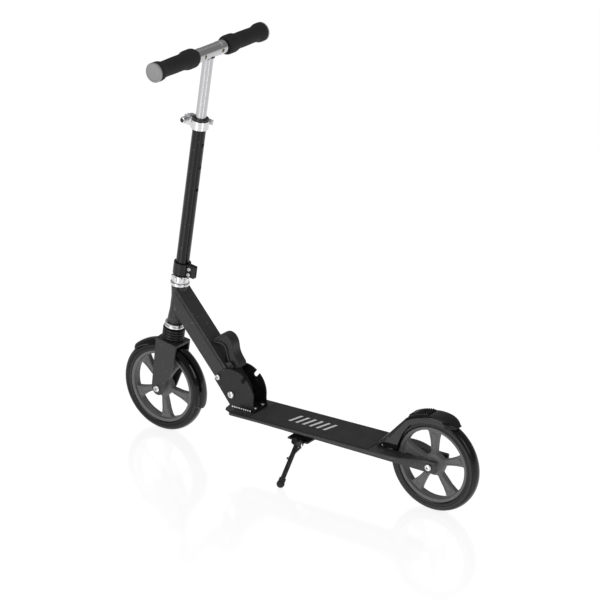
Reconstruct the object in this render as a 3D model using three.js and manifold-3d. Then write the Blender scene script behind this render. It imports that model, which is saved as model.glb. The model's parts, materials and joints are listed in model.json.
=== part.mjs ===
// Adult folding kick scooter with 200 mm wheels, a sprung fork, a height-adjustable stem,
// pull-out handles, a rear fender brake and a side kickstand.
// Frame: millimetres, +X forward, +Y to the rider's left, +Z up, floor at Z = 0,
// origin midway between the axles.
import * as THREE from 'three';
import { mergeVertices } from 'three/addons/utils/BufferGeometryUtils.js';
import Module from 'manifold-3d';

const wasm = await Module();
wasm.setup();

// ---------------------------------------------------------------- driving sizes
const WHEELBASE = 680;
const WHEEL_R = 100;
const GAP = 0.3; // between pieces that touch
const RUN = 0.4; // between pieces that turn or slide in each other

const TYRE_HALF = 13.2;
const RIM_R = 80;
const RIM_WALL = 7;
const HUB_R = 15;
const HUB_HALF = 18;
const AXLE_R = 4;
const BEARING_R = 11;
const BEARING_W = 7;
const WHEEL_STEPS = 36;
const SPOKES = 5;

const DECK_HALF = 49.5;
const DECK_FRONT = WHEELBASE / 2 - 205;
const DECK_THICK = 6;
const DECK_Z = 108.3; // top of the deck plate at X = 0
const DECK_RISE = 0.018; // how much the deck rises per mm towards the rear
const GRIP_T = 0.8;
const RAIL_IN = 19.6;
const RAIL_T = 6;
const RAIL_Z = 88;
const TAIL = 18; // rails past the rear axle

const TUBE_W = 42;
const TUBE_D = 38.6;
const TUBE_WALL = 3;
const TUBE_ANGLE = 49;
const TUBE_OFFSET = 4.8; // centre line above the fold pivot
const PIVOT_X = WHEELBASE / 2 - 195;
const PIVOT_Z = 135;
const PIVOT_R = 5;
const PLATE_T = 3;
const SECTOR_R = 56;
const LOCK_R = 46; // lock bolt's distance from the fold pivot
const LOCK_ANGLE = 43;
const FOLD = 86;
const LOCK_BOLT_R = 4;

const RAKE = 9.28;
const FORK_OFFSET = 7;
const STEERER_R = 11;
const INNER_FORK_R = 9;
const HEAD_LOW = 156;
const HEAD_TOP = 242;
const HEAD_R = 16.5;
const CROWN_LOW = 108.4;
const CROWN_TOP = 115;
const BLADE_T = 5.5;
const LOW_RING = 10;
const TRAVEL = 12;

const OUTER_TUBE_R = 14;
const OUTER_TUBE_LOW = 271;
const OUTER_TUBE_TOP = 604;
const STEM_R = 11;
const STEM_WALL = 1.5;
const STEM_LOW = 472;
const BAR_W = 766.8; // handlebar centre above the front axle, along the column
const TEE_R = 14.5;
const TEE_HALF = 45;
const BAR_R = 11;
const BAR_END = 180;
const BAR_INNER = 8;
const GRIP_START = 52;
const GRIP_R = 17;
const HOLE_R = 4;
const HOLE_PITCH = 50;
const BUTTON_W = 516; // height button above the front axle, along the column

const FENDER_GAP = 4.6;
const FENDER_T = 2.4;
const STAND_R = 5;

// ---------------------------------------------------------------- solids
const DEG = Math.PI / 180;
const rake = RAKE * DEG;

function solid(geometry) {
  geometry.deleteAttribute('normal');
  geometry.deleteAttribute('uv');
  const merged = mergeVertices(geometry, 1e-4);
  const points = merged.attributes.position.array;
  const index = merged.index.array;
  const faces = [];
  let volume = 0;
  const p = (i) => new THREE.Vector3().fromArray(points, 3 * i);
  for (let i = 0; i < index.length; i += 3) {
    const [a, b, c] = [index[i], index[i + 1], index[i + 2]];
    if (a === b || b === c || c === a) continue;
    faces.push([a, b, c]);
    volume += p(a).dot(p(b).cross(p(c)));
  }
  const triVerts = new Uint32Array(faces.flatMap(([a, b, c]) => (volume > 0 ? [a, b, c] : [a, c, b])));
  return new wasm.Manifold(new wasm.Mesh({ numProp: 3, vertProperties: points, triVerts }));
}

function join(first, ...others) {
  return others.reduce((body, other) => body.add(other), first);
}

function cut(first, ...others) {
  return others.reduce((body, other) => body.subtract(other), first);
}

// A block from its lowest to its highest corner.
function block(x0, x1, y0, y1, z0, z1) {
  const g = new THREE.BoxGeometry(x1 - x0, y1 - y0, z1 - z0);
  return solid(g.translate((x0 + x1) / 2, (y0 + y1) / 2, (z0 + z1) / 2));
}

// A round bar along Z, or along Y.
function barZ(r, z0, z1, x = 0, y = 0, steps = 20) {
  const g = new THREE.CylinderGeometry(r, r, z1 - z0, steps).rotateX(Math.PI / 2);
  return solid(g.translate(x, y, (z0 + z1) / 2));
}

function barY(r, y0, y1, x = 0, z = 0, steps = 16) {
  const g = new THREE.CylinderGeometry(r, r, y1 - y0, steps);
  return solid(g.translate(x, (y0 + y1) / 2, z));
}

// A round bar between two points, with a ball at each end if asked for.
function barAlong(from, to, r, steps = 14) {
  const a = new THREE.Vector3(...from);
  const b = new THREE.Vector3(...to);
  const g = new THREE.CylinderGeometry(r, r, a.distanceTo(b), steps);
  const turn = new THREE.Quaternion().setFromUnitVectors(
    new THREE.Vector3(0, 1, 0),
    b.clone().sub(a).normalize(),
  );
  return solid(g.applyQuaternion(turn).translate(...a.add(b).multiplyScalar(0.5).toArray()));
}

function ball(r, x, y, z, steps = 12) {
  return solid(new THREE.SphereGeometry(r, steps, steps / 2).rotateX(Math.PI / 2).translate(x, y, z));
}

function outline(points) {
  return new THREE.Shape(points.map(([x, y]) => new THREE.Vector2(x, y)));
}

// A flat outline in X and Z, from y0 to y1.
function sideways(shape, y0, y1, curveSegments = 6) {
  const g = new THREE.ExtrudeGeometry(shape, { depth: y1 - y0, bevelEnabled: false, curveSegments });
  return solid(g.rotateX(Math.PI / 2).translate(0, y1, 0));
}

// A flat outline in X and Y, from z0 to z1.
function upright(shape, z0, z1, curveSegments = 6) {
  const g = new THREE.ExtrudeGeometry(shape, { depth: z1 - z0, bevelEnabled: false, curveSegments });
  return solid(g.translate(0, 0, z0));
}

// A profile of [radius, height] turned about the Y axis, or about the Z axis.
function turnedY(profile, steps) {
  return solid(new THREE.LatheGeometry(profile.map(([r, y]) => new THREE.Vector2(r, y)), steps));
}

function turnedZ(profile, steps = 20) {
  const g = new THREE.LatheGeometry(profile.map(([r, z]) => new THREE.Vector2(r, z)), steps);
  return solid(g.rotateX(Math.PI / 2));
}

function ringZ(outer, inner, z0, z1, steps = 20) {
  return turnedZ([[inner, z0], [outer, z0], [outer, z1], [inner, z1], [inner, z0]], steps);
}

function hexY(r, y0, y1, x = 0, z = 0) {
  return barY(r, y0, y1, x, z, 6);
}

// ---------------------------------------------------------------- scene
const finishes = {
  blackPaint: ['#2c2c2e', 0.45, 0.3],
  greyPaint: ['#444446', 0.5, 0.4],
  tapeGrit: ['#39393b', 0.95, 0],
  steel: ['#c8c8ca', 0.25, 1],
  aluminium: ['#c4c4c6', 0.35, 1],
  brass: ['#b08a3c', 0.3, 1],
  rubber: ['#1c1c1d', 0.8, 0],
  tyre: ['#29292b', 0.6, 0],
  rim: ['#58585a', 0.5, 0.1],
  glossBlack: ['#101011', 0.15, 0],
  blackPlastic: ['#19191a', 0.45, 0],
  endCap: ['#77777a', 0.4, 0.2],
};

function add(parent, name, body, finish) {
  const { vertProperties, triVerts } = body.getMesh();
  const geometry = new THREE.BufferGeometry();
  geometry.setAttribute('position', new THREE.BufferAttribute(vertProperties, 3));
  geometry.setIndex(new THREE.BufferAttribute(triVerts, 1));
  geometry.computeVertexNormals();
  const [color, roughness, metalness] = finishes[finish];
  const mesh = new THREE.Mesh(geometry, new THREE.MeshStandardMaterial({ color, roughness, metalness }));
  mesh.name = name;
  parent.add(mesh);
}

function group(parent, x, y, z, turnY = 0) {
  const g = new THREE.Group();
  g.position.set(x, y, z);
  g.rotation.y = turnY;
  parent.add(g);
  return g;
}

const scooter = new THREE.Group();
const axleX = WHEELBASE / 2;

// ---------------------------------------------------------------- wheels
// The tyre's flats, not its corners, lie at the wheel's radius, and one flat is lowest.
function addWheel(end, x, firstSpoke) {
  const wheel = group(scooter, x, 0, WHEEL_R, Math.PI / WHEEL_STEPS);
  const reach = WHEEL_R / Math.cos(Math.PI / WHEEL_STEPS);
  const seat = RIM_R + GAP;
  const h = TYRE_HALF;
  const half = [
    [seat, 0.83 * h], [reach - 12, h], [reach - 6, 0.88 * h], [reach - 2, 0.6 * h], [reach, 0.3 * h],
  ];
  const profile = [...half, ...half.map(([r, y]) => [r, -y]).reverse(), half[0]];
  add(wheel, `tyre_${end}`, turnedY(profile, WHEEL_STEPS), 'tyre');

  const bore = BEARING_R + GAP;
  const band = turnedY(
    [[RIM_R - RIM_WALL, -9], [RIM_R, -11], [RIM_R, 11], [RIM_R - RIM_WALL, 9], [RIM_R - RIM_WALL, -9]],
    WHEEL_STEPS,
  );
  let rim = join(band, barY(HUB_R, -HUB_HALF, HUB_HALF));
  for (let i = 0; i < SPOKES; i += 1) {
    const angle = firstSpoke + (i / SPOKES) * 360;
    const spoke = outline([
      [8, -7.5], [30, -6.5], [52, -8], [RIM_R - 4, -14], [RIM_R - 4, 14], [52, 8], [30, 6.5], [8, 7.5],
    ]);
    rim = join(rim, sideways(spoke, -7, 7).rotate([0, -angle, 0]));
  }
  add(wheel, `rim_${end}`, cut(rim, barY(bore, -HUB_HALF - 1, HUB_HALF + 1)), 'rim');

  for (const [side, sign] of [['left', 1], ['right', -1]]) {
    const outer = sign * HUB_HALF;
    const inner = sign * (HUB_HALF - BEARING_W);
    const low = Math.min(outer, inner);
    const high = Math.max(outer, inner);
    const ring = cut(barY(BEARING_R, low, high), barY(AXLE_R + GAP, low - 1, high + 1));
    add(wheel, `bearing_${end}_${side}`, ring, 'steel');
  }
}

addWheel('rear', -axleX, 17);
addWheel('front', axleX, -24.5);

// An axle bolt along Y with a low round head on the left and a hexagon nut on the right.
function addAxle(parent, end, x, z, outerY) {
  const dome = [
    [0, outerY + GAP], [7.5, outerY + GAP], [7.5, outerY + 2], [5.5, outerY + 4.5], [0, outerY + 4.5],
  ];
  const head = turnedY(dome, 20).translate([x, 0, z]);
  add(parent, `axle_bolt_${end}`, join(head, barY(AXLE_R, -outerY - 6, outerY + 1, x, z)), 'steel');
  const nut = cut(
    hexY(7.5, -outerY - 5, -outerY - GAP, x, z),
    barY(AXLE_R + GAP, -outerY - 7, -outerY, x, z),
  );
  add(parent, `axle_nut_${end}`, nut, 'steel');
}

// ---------------------------------------------------------------- deck
const deckTop = (x) => DECK_Z - DECK_RISE * x;
const railOut = RAIL_IN + RAIL_T;
const tailX = -axleX - TAIL;
const slotFront = -axleX + WHEEL_R + 7;
const armTaper = slotFront - 30;
// From the rear axle: the brake's pin, and the foot of its front ramp, which the tape stops before.
const brakePin = { x: WHEEL_R + 11.5, z: 18, r: 2 };
const rampFoot = { x: brakePin.x + 16, z: 15.5 };
const deck = group(scooter, 0, 0, DECK_Z, Math.atan(DECK_RISE));

function deckOutline(inset) {
  const half = DECK_HALF - inset;
  const arm = railOut + 2 - inset;
  const slotHalf = RAIL_IN - 1 + inset;
  const s = new THREE.Shape();
  s.moveTo(DECK_FRONT - inset, -half + 4);
  s.lineTo(DECK_FRONT - inset, half - 4);
  s.quadraticCurveTo(DECK_FRONT - inset, half, DECK_FRONT - inset - 4, half);
  s.lineTo(armTaper, half);
  s.bezierCurveTo(armTaper - 30, half, armTaper - 50, arm, -axleX, arm);
  s.lineTo(tailX + 5, arm);
  s.quadraticCurveTo(tailX + inset, arm, tailX + inset, slotHalf);
  s.lineTo(slotFront + inset, slotHalf);
  s.lineTo(slotFront + inset, -slotHalf);
  s.lineTo(tailX + inset, -slotHalf);
  s.quadraticCurveTo(tailX + inset, -arm, tailX + 5, -arm);
  s.lineTo(-axleX, -arm);
  s.bezierCurveTo(armTaper - 50, -arm, armTaper - 30, -half, armTaper, -half);
  s.lineTo(DECK_FRONT - inset - 4, -half);
  s.quadraticCurveTo(DECK_FRONT - inset, -half, DECK_FRONT - inset, -half + 4);
  return s;
}

add(deck, 'deck_plate', upright(deckOutline(0), -DECK_THICK, 0, 6), 'greyPaint');
const bracketRear = PIVOT_X - SECTOR_R - 2;
const tapeHalf = DECK_HALF - 3;
const tapeRear = rampFoot.x - axleX + 2;
const tape = block(tapeRear, bracketRear - 4, -tapeHalf, tapeHalf, GAP, GAP + GRIP_T);
add(deck, 'grip_tape', tape, 'tapeGrit');

// Two rails carry the deck plate and hold the rear axle.
const underDeck = (x) => deckTop(x) - DECK_THICK - GAP - 0.1;
const railFront = DECK_FRONT - 2;
const railShape = outline([
  [tailX + 4, RAIL_Z], [railFront, RAIL_Z], [railFront, underDeck(railFront)],
  [tailX + 1, underDeck(tailX)], [tailX + 1, RAIL_Z + 4],
]);
for (const [side, sign] of [['left', 1], ['right', -1]]) {
  const y0 = sign > 0 ? RAIL_IN : -railOut;
  const rail = cut(
    sideways(railShape, y0, y0 + RAIL_T),
    barY(AXLE_R + GAP, y0 - 1, y0 + RAIL_T + 1, -axleX, WHEEL_R),
  );
  add(scooter, `rail_${side}`, rail, 'greyPaint');
}
addAxle(scooter, 'rear', -axleX, WHEEL_R, railOut);

// ---------------------------------------------------------------- fold bracket
// Two sector plates stand on a base that wraps over the deck's front end. The lock bolt rests in
// the front pair of notches, and the rear pair holds it when the scooter is folded.
const around = (r, degrees) => [PIVOT_X + r * Math.cos(degrees * DEG), PIVOT_Z + r * Math.sin(degrees * DEG)];
const plateIn = TUBE_W / 2 + RUN;
const plateOut = plateIn + PLATE_T;
const baseTop = 112;
const seatZ = (x) => deckTop(x) + 0.35;

function sectorOutline() {
  const s = new THREE.Shape();
  s.moveTo(bracketRear + 2, seatZ(bracketRear));
  s.lineTo(...around(SECTOR_R, 188));
  s.absarc(PIVOT_X, PIVOT_Z, SECTOR_R, 188 * DEG, 72 * DEG, true);
  s.lineTo(...around(SECTOR_R - 4, 58));
  s.lineTo(...around(LOCK_R + 4, 30));
  s.lineTo(PIVOT_X + 4, baseTop - 1);
  s.lineTo(PIVOT_X + 4, seatZ(PIVOT_X));
  return s;
}

// A slot with a round end, open outwards, seen from the side.
function notch(angle, depth, half) {
  const [x, z] = around(depth, angle);
  const round = barY(half, -60, 60, x, z, 12);
  const open = block(0, 40, -60, 60, -half, half).rotate([0, -angle, 0]).translate([x, 0, z]);
  return join(round, open);
}

const notchHalf = LOCK_BOLT_R + RUN;
const folded = notch(LOCK_ANGLE + FOLD, LOCK_R, notchHalf);
const locked = notch(LOCK_ANGLE, LOCK_R, notchHalf);
const noseX = DECK_FRONT + 26;
const base = sideways(outline([
  [bracketRear, seatZ(bracketRear)], [DECK_FRONT + GAP, seatZ(DECK_FRONT)], [DECK_FRONT + GAP, RAIL_Z + 4],
  [noseX - 10, RAIL_Z + 4], [noseX, RAIL_Z + 8], [noseX - 1, RAIL_Z + 13], [noseX - 12, baseTop],
  [bracketRear, baseTop],
]), -plateOut, plateOut);
let bracket = base;
for (const y0 of [plateIn, -plateOut]) {
  bracket = join(bracket, sideways(sectorOutline(), y0, y0 + PLATE_T));
}
const boltHole = barY(PIVOT_R + GAP, -60, 60, PIVOT_X, PIVOT_Z);
const screwX = bracketRear + 6;
const screwY = 13;
const screwR = 2.5;
bracket = cut(bracket, folded, locked, boltHole);
for (const y of [screwY, -screwY]) {
  bracket = cut(bracket, barZ(screwR + GAP, 90, 130, screwX, y, 12));
}
add(scooter, 'fold_bracket', bracket, 'greyPaint');
for (const [side, sign] of [['left', 1], ['right', -1]]) {
  const y = sign * screwY;
  const low = seatZ(screwX);
  const head = barZ(4.5, baseTop + GAP, baseTop + 2.6, screwX, y, 12);
  const screw = join(barZ(screwR, low, baseTop + 1, screwX, y, 12), head);
  add(scooter, `bracket_screw_${side}`, screw, 'steel');
}

function addCrossBolt(name, r, headR, x, z, finish) {
  const head = plateOut + GAP;
  const bolt = join(barY(r, -head - 6, head + 1, x, z), barY(headR, head, head + 4, x, z, 20));
  add(scooter, `${name}_bolt`, bolt, finish);
  const nut = cut(hexY(headR, -head - 5, -head, x, z), barY(r + GAP, -head - 6, 0, x, z));
  add(scooter, `${name}_nut`, nut, finish);
}

const [lockX, lockZ] = around(LOCK_R, LOCK_ANGLE);
addCrossBolt('fold', PIVOT_R, 8, PIVOT_X, PIVOT_Z, 'steel');
addCrossBolt('lock', LOCK_BOLT_R, 6.5, lockX, lockZ, 'steel');

// ---------------------------------------------------------------- front frame
// The down tube's own frame: X along the tube from the fold pivot, Z out of its upper face.
const column = { x: axleX - FORK_OFFSET * Math.cos(rake), z: WHEEL_R - FORK_OFFSET * Math.sin(rake) };
const inTube = (body) => body.rotate([0, -TUBE_ANGLE, 0]).translate([PIVOT_X, 0, PIVOT_Z]);
const inColumn = (body) => body.rotate([0, -RAKE, 0]).translate([column.x, 0, column.z]);
const tubeTop = TUBE_OFFSET + TUBE_D / 2;
const tubeLow = TUBE_OFFSET - TUBE_D / 2;

function tubeSection(inset, radius) {
  const w = TUBE_W / 2 - inset;
  const [lo, hi] = [tubeLow + inset, tubeTop - inset];
  const s = new THREE.Shape();
  s.moveTo(w - radius, lo);
  s.absarc(w - radius, lo + radius, radius, -Math.PI / 2, 0);
  s.absarc(w - radius, hi - radius, radius, 0, Math.PI / 2);
  s.absarc(-w + radius, hi - radius, radius, Math.PI / 2, Math.PI);
  s.absarc(-w + radius, lo + radius, radius, Math.PI, 1.5 * Math.PI);
  return s;
}

// The section's X becomes the tube's Y, and the extrusion runs along the tube's X.
function tubeBar(shape, x0, x1) {
  const g = new THREE.ExtrudeGeometry(shape, { depth: x1 - x0, bevelEnabled: false, curveSegments: 3 });
  g.applyMatrix4(new THREE.Matrix4().makeBasis(
    new THREE.Vector3(0, 1, 0), new THREE.Vector3(0, 0, 1), new THREE.Vector3(1, 0, 0),
  ));
  return solid(g.translate(x0, 0, 0));
}

const footR = TUBE_D / 2 - 0.5;
const tubeFoot = barY(footR, -TUBE_W / 2, TUBE_W / 2, 0, TUBE_OFFSET, 28);
const tubeOuter = join(tubeBar(tubeSection(0, 3), 0, 262), tubeFoot);
const hollow = tubeBar(tubeSection(TUBE_WALL, 1), -30, 205);
const slotSteps = 5;
let lockSlot = barY(notchHalf, -30, 30, LOCK_R * Math.cos(6 * DEG), -LOCK_R * Math.sin(6 * DEG), 12);
for (let i = 1; i <= slotSteps; i += 1) {
  const sweep = (a) => [LOCK_R * Math.cos(a * DEG), -LOCK_R * Math.sin(a * DEG)];
  const a0 = 6 + (i - 1) * 6;
  const [x0, z0] = sweep(a0);
  const [x1, z1] = sweep(a0 + 6);
  const tilt = Math.atan2(z1 - z0, x1 - x0) / DEG;
  const run = block(-1, Math.hypot(x1 - x0, z1 - z0) + 1, -30, 30, -notchHalf, notchHalf);
  lockSlot = join(lockSlot, run.rotate([0, -tilt, 0]).translate([x0, 0, z0]));
}
const leverPivot = { x: 50, z: 34 };
const leverPinR = 2.5;
const earIn = 13.6;
const earT = 3;
let ears = null;
for (const y0 of [earIn, -earIn - earT]) {
  const side = outline([
    [38, tubeTop - 1], [62, tubeTop - 1], [56, leverPivot.z + 5], [44, leverPivot.z + 5],
  ]);
  const ear = sideways(side, y0, y0 + earT);
  ears = ears ? join(ears, ear) : ear;
}
const earHole = barY(leverPinR + GAP, -30, 30, leverPivot.x, leverPivot.z, 14);
const aheadOfTube = inColumn(block(-7, 60, -40, 40, 100, 330));
const headTube = inColumn(turnedZ([
  [0, HEAD_LOW], [HEAD_R, HEAD_LOW], [HEAD_R, HEAD_LOW + 8], [14.4, HEAD_LOW + 32], [14.4, HEAD_TOP - 26],
  [HEAD_R, HEAD_TOP - 8], [HEAD_R + 0.5, HEAD_TOP], [0, HEAD_TOP],
]));
const headBore = inColumn(barZ(STEERER_R + RUN, HEAD_LOW - 2, HEAD_TOP + 2));
const pivotHole = barY(PIVOT_R + RUN, -30, 30, 0, 0);
let frame = cut(inTube(cut(join(tubeOuter, ears), hollow, lockSlot, pivotHole, earHole)), aheadOfTube);
frame = cut(join(frame, headTube), headBore);
add(scooter, 'front_frame', frame, 'greyPaint');

const steering = group(scooter, column.x, 0, column.z, -rake);
const lowRingLow = HEAD_LOW - GAP - LOW_RING;
const lowRing = ringZ(21.5, STEERER_R + RUN, lowRingLow, HEAD_LOW - GAP);
add(steering, 'lower_headset_ring', lowRing, 'steel');
const cupTop = OUTER_TUBE_LOW - 4;
const cup = cut(
  turnedZ([
    [0, HEAD_TOP + GAP], [17.5, HEAD_TOP + GAP], [20.5, HEAD_TOP + 4], [20.5, HEAD_TOP + 8],
    [17, HEAD_TOP + 12],
    [17, cupTop], [0, cupTop],
  ]),
  barZ(STEERER_R + RUN, HEAD_TOP, cupTop + 1),
);
add(steering, 'upper_headset_cup', cup, 'steel');

// ---------------------------------------------------------------- release lever
const lever = group(scooter, PIVOT_X, 0, PIVOT_Z, -TUBE_ANGLE * DEG);
const earLow = tubeTop + 0.8;
function leverOutline(inset) {
  const s = new THREE.Shape();
  s.moveTo(40, 37 + inset);
  s.lineTo(36, 49 - inset);
  s.lineTo(44, 52.5 - inset);
  s.bezierCurveTo(58, 53 - inset, 66, 54 - inset, 76, 61 - inset);
  s.bezierCurveTo(84, 67 - inset, 92, 69.5 - inset, 100, 68 - inset);
  s.bezierCurveTo(112 - inset, 65 - inset, 116 - inset, 56, 116 - inset, 44);
  s.lineTo(116 - inset, earLow + inset);
  s.lineTo(108 + inset, earLow + inset);
  s.bezierCurveTo(98, 47 + inset, 88, 46 + inset, 78, 40 + inset);
  s.lineTo(58, 29 + inset);
  s.absarc(leverPivot.x, leverPivot.z, 8 - inset, -40 * DEG, -160 * DEG, true);
  return s;
}
const leverHalf = earIn - RUN;
const leverBody = cut(
  sideways(leverOutline(0), -leverHalf, leverHalf, 8),
  barY(leverPinR + RUN, -30, 30, leverPivot.x, leverPivot.z, 14),
);
add(lever, 'release_lever', leverBody, 'blackPlastic');
const pinEnd = earIn + earT + 1;
add(lever, 'lever_pin', barY(leverPinR, -pinEnd, pinEnd, leverPivot.x, leverPivot.z, 14), 'steel');

// ---------------------------------------------------------------- fork
// The fork's inner tube slides in the steerer, and the spring holds it out.
const bladeIn = RAIL_IN + 0.6;
const bladeOut = bladeIn + BLADE_T;
const blade = new THREE.Shape();
blade.moveTo(26, CROWN_LOW + 1);
blade.lineTo(22.5, 12);
blade.bezierCurveTo(22, -8, 14, -15, 6, -15);
blade.bezierCurveTo(-3, -15, -9, -9, -11, 6);
blade.lineTo(-15.5, 24);
blade.bezierCurveTo(-22, 48, -27, 60, -27.5, 76);
blade.lineTo(-27.5, CROWN_LOW + 1);
const crownOutline = outline([
  [-27.5, -bladeOut], [27, -bladeOut], [30, 0], [27, bladeOut], [-27.5, bladeOut],
]);
let fork = upright(crownOutline, CROWN_LOW, CROWN_TOP);
for (const y0 of [bladeIn, -bladeOut]) {
  fork = join(fork, sideways(blade, y0, y0 + BLADE_T, 5));
}
const innerTube = cut(
  barZ(INNER_FORK_R, CROWN_TOP - 1, HEAD_TOP - 10),
  barZ(INNER_FORK_R - 2, CROWN_TOP + 2, HEAD_TOP),
);
fork = cut(join(fork, innerTube), barY(AXLE_R + GAP, -40, 40, FORK_OFFSET, 0));
add(steering, 'fork', fork, 'greyPaint');
addAxle(steering, 'front', FORK_OFFSET, 0, bladeOut);

const steererLow = CROWN_TOP + TRAVEL + 2;
const steerer = ringZ(STEERER_R, INNER_FORK_R + RUN, steererLow, OUTER_TUBE_LOW + 22);
add(steering, 'steerer', steerer, 'steel');

const springIn = STEERER_R + 2;
const springOut = 24;
const turns = 4;
const springProfile = [[springIn, CROWN_TOP + GAP]];
const pitch = (lowRingLow - CROWN_TOP - 2 * GAP) / turns;
for (let i = 0; i < turns; i += 1) {
  const z = CROWN_TOP + GAP + i * pitch;
  springProfile.push([springOut - 4, z], [springOut, z + pitch * 0.3], [springOut, z + pitch * 0.7]);
}
springProfile.push([springOut - 4, lowRingLow - GAP], [springIn, lowRingLow - GAP], springProfile[0]);
add(steering, 'suspension_spring', turnedZ(springProfile), 'blackPaint');

// ---------------------------------------------------------------- fenders
// A crowned sheet over the wheel, bent down at both sides. Angles are from +X, upwards.
function fenderArc(a0, a1, inner, half) {
  const top = inner + FENDER_T;
  const section = [
    [inner - 7, -half + 1], [inner, -half + 7], [inner, half - 7], [inner - 7, half - 1], [inner - 6, half],
    [top, half - 6], [top, -half + 6], [inner - 6, -half], [inner - 7, -half + 1],
  ];
  const far = 150;
  const wedge = [[0, 0]];
  const steps = Math.ceil((a1 - a0) / 30);
  for (let i = 0; i <= steps; i += 1) {
    const a = (a0 + ((a1 - a0) * i) / steps) * DEG;
    wedge.push([far * Math.cos(a), far * Math.sin(a)]);
  }
  return turnedY(section, WHEEL_STEPS).intersect(sideways(outline(wedge), -60, 60));
}

const fenderIn = WHEEL_R + FENDER_GAP;
const frontFender = fenderArc(47 - RAKE, 195 - RAKE, fenderIn, bladeIn - RUN);
add(steering, 'front_fender', frontFender.translate([FORK_OFFSET, 0, 0]), 'glossBlack');

// The rear fender is the brake: it is pressed down on the tyre by the heel and turns on a pin
// near its front tip. Its outline is seen from the side, from the rear axle.
const brake = group(scooter, -axleX, 0, WHEEL_R);
const skirt = 2.4;
const brakeHalf = 22;
const fenderOut = fenderIn + FENDER_T;
const rampTop = 56; // the angle at which the ramp meets the arc
const wingEnd = 121;

function brakeSide(shell, lower) {
  const s = new THREE.Shape();
  const r = fenderOut - shell;
  s.moveTo(rampFoot.x - shell * 0.75, rampFoot.z - shell * 0.67);
  s.lineTo(r * Math.cos(rampTop * DEG), r * Math.sin(rampTop * DEG));
  s.absarc(0, 0, r, rampTop * DEG, wingEnd * DEG, false);
  if (lower) {
    s.lineTo((r - 8) * Math.cos((wingEnd - 2) * DEG), (r - 8) * Math.sin((wingEnd - 2) * DEG));
    s.absarc(0, 0, r - 16, 108 * DEG, 62 * DEG, true);
    s.quadraticCurveTo(68, 60, 75, 31);
    s.lineTo(78, rampFoot.z);
  } else {
    s.lineTo(-90, 60);
    s.lineTo(0, -5);
    s.lineTo(rampFoot.x, -5);
  }
  return s;
}

const pad = new THREE.Shape();
pad.absarc(0, 0, fenderOut - 1, 60 * DEG, 84 * DEG, false);
pad.absarc(0, 0, fenderOut + 3, 84 * DEG, 60 * DEG, true);
const brakeShell = cut(
  join(sideways(brakeSide(0, true), -brakeHalf, brakeHalf, 9), sideways(pad, -15, 15, 4)),
  sideways(brakeSide(FENDER_T, false), -brakeHalf + skirt, brakeHalf - skirt, 9),
  barY(brakePin.r + RUN, -60, 60, brakePin.x, brakePin.z, 14),
);
add(brake, 'rear_fender', brakeShell, 'glossBlack');
const hingeLow = seatZ(brakePin.x - axleX) - WHEEL_R;
const hinge = cut(
  join(
    barY(3.3, -11, 11, brakePin.x, brakePin.z, 16),
    block(brakePin.x - 3.3, brakePin.x + 3.3, -11, 11, hingeLow, brakePin.z),
  ),
  barY(brakePin.r + GAP, -60, 60, brakePin.x, brakePin.z, 14),
);
add(brake, 'brake_hinge', hinge, 'steel');
add(brake, 'brake_pin', barY(brakePin.r, -brakeHalf - 1, brakeHalf + 1, brakePin.x, brakePin.z, 14), 'steel');
const brakeCoil = cut(
  barY(3.5, 11.5, 18.5, brakePin.x, brakePin.z, 14),
  barY(brakePin.r + GAP, 11, 19, brakePin.x, brakePin.z, 14),
);
add(brake, 'brake_spring', brakeCoil, 'steel');

// ---------------------------------------------------------------- kickstand
// The leg turns about a slanted bolt, so that it stands out to the side and stows along the deck.
const standPivot = new THREE.Vector3(-33, 40, 77);
const standDown = new THREE.Vector3(0, 0.653, -0.757).normalize();
const standAxis = new THREE.Vector3(0, -standDown.z, standDown.y);
const onStand = (down, out, back = 0) => standPivot.clone()
  .addScaledVector(standDown, down)
  .addScaledVector(standAxis, out)
  .add(new THREE.Vector3(-back, 0, 0))
  .toArray();
const eye = STAND_R + 0.5;
const eyeR = 7.5;
const standPlateTop = RAIL_Z - GAP;
const anchor = new THREE.Vector3(-51.5, 47, standPlateTop - 8);
const standPlate = block(-62, -12, 12, 45, standPlateTop - 4, standPlateTop);
const standBoltR = 3;
const boltThrough = barAlong(onStand(0, -30), onStand(0, 30), standBoltR + GAP);
const standBracket = cut(
  join(
    standPlate,
    barAlong(onStand(0, eye + GAP), onStand(0, eye + 8), eyeR, 18),
    block(-55, -48, 38, 50, standPlateTop - 4, standPlateTop),
    barZ(1.5, anchor.z - 1, standPlateTop - 3, anchor.x, anchor.y, 10),
  ),
  boltThrough,
  barAlong(onStand(0, -eye - 1), onStand(0, eye + GAP), eyeR + RUN, 18),
);
add(scooter, 'kickstand_bracket', standBracket, 'blackPaint');
const standBolt = join(
  barAlong(onStand(0, -eye - GAP - 4), onStand(0, -eye - GAP), 5.5, 18),
  barAlong(onStand(0, -eye - 1), onStand(0, eye + 7), standBoltR),
);
add(scooter, 'kickstand_bolt', standBolt, 'steel');
const footZ = 8.3;
const footReach = (standPivot.z - footZ) / -standDown.z;
const leg = cut(
  join(
    barAlong(onStand(0, -eye), onStand(0, eye), eyeR, 18),
    barAlong(onStand(0, 0), onStand(footReach - 2, 0), STAND_R),
    barAlong(onStand(38, 0), onStand(38, 12), 2, 10),
  ),
  boltThrough,
);
add(scooter, 'kickstand_leg', leg, 'blackPaint');
const [, footY] = onStand(footReach, 0);
const foot = cut(
  join(
    ball(8.8, standPivot.x, footY, footZ),
    barAlong(onStand(footReach - 12, 0), onStand(footReach, 0), STAND_R + 2.5),
  ),
  barAlong(onStand(0, 0), onStand(footReach - 2 + GAP, 0), STAND_R + GAP),
  block(-100, 100, 0, 200, -50, 0),
);
add(scooter, 'kickstand_foot', foot, 'rubber');
const hook = new THREE.Vector3(...onStand(38, 9.5));
const pull = hook.clone().sub(anchor).normalize();
const springEnd = hook.clone().addScaledVector(pull, -3).toArray();
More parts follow.
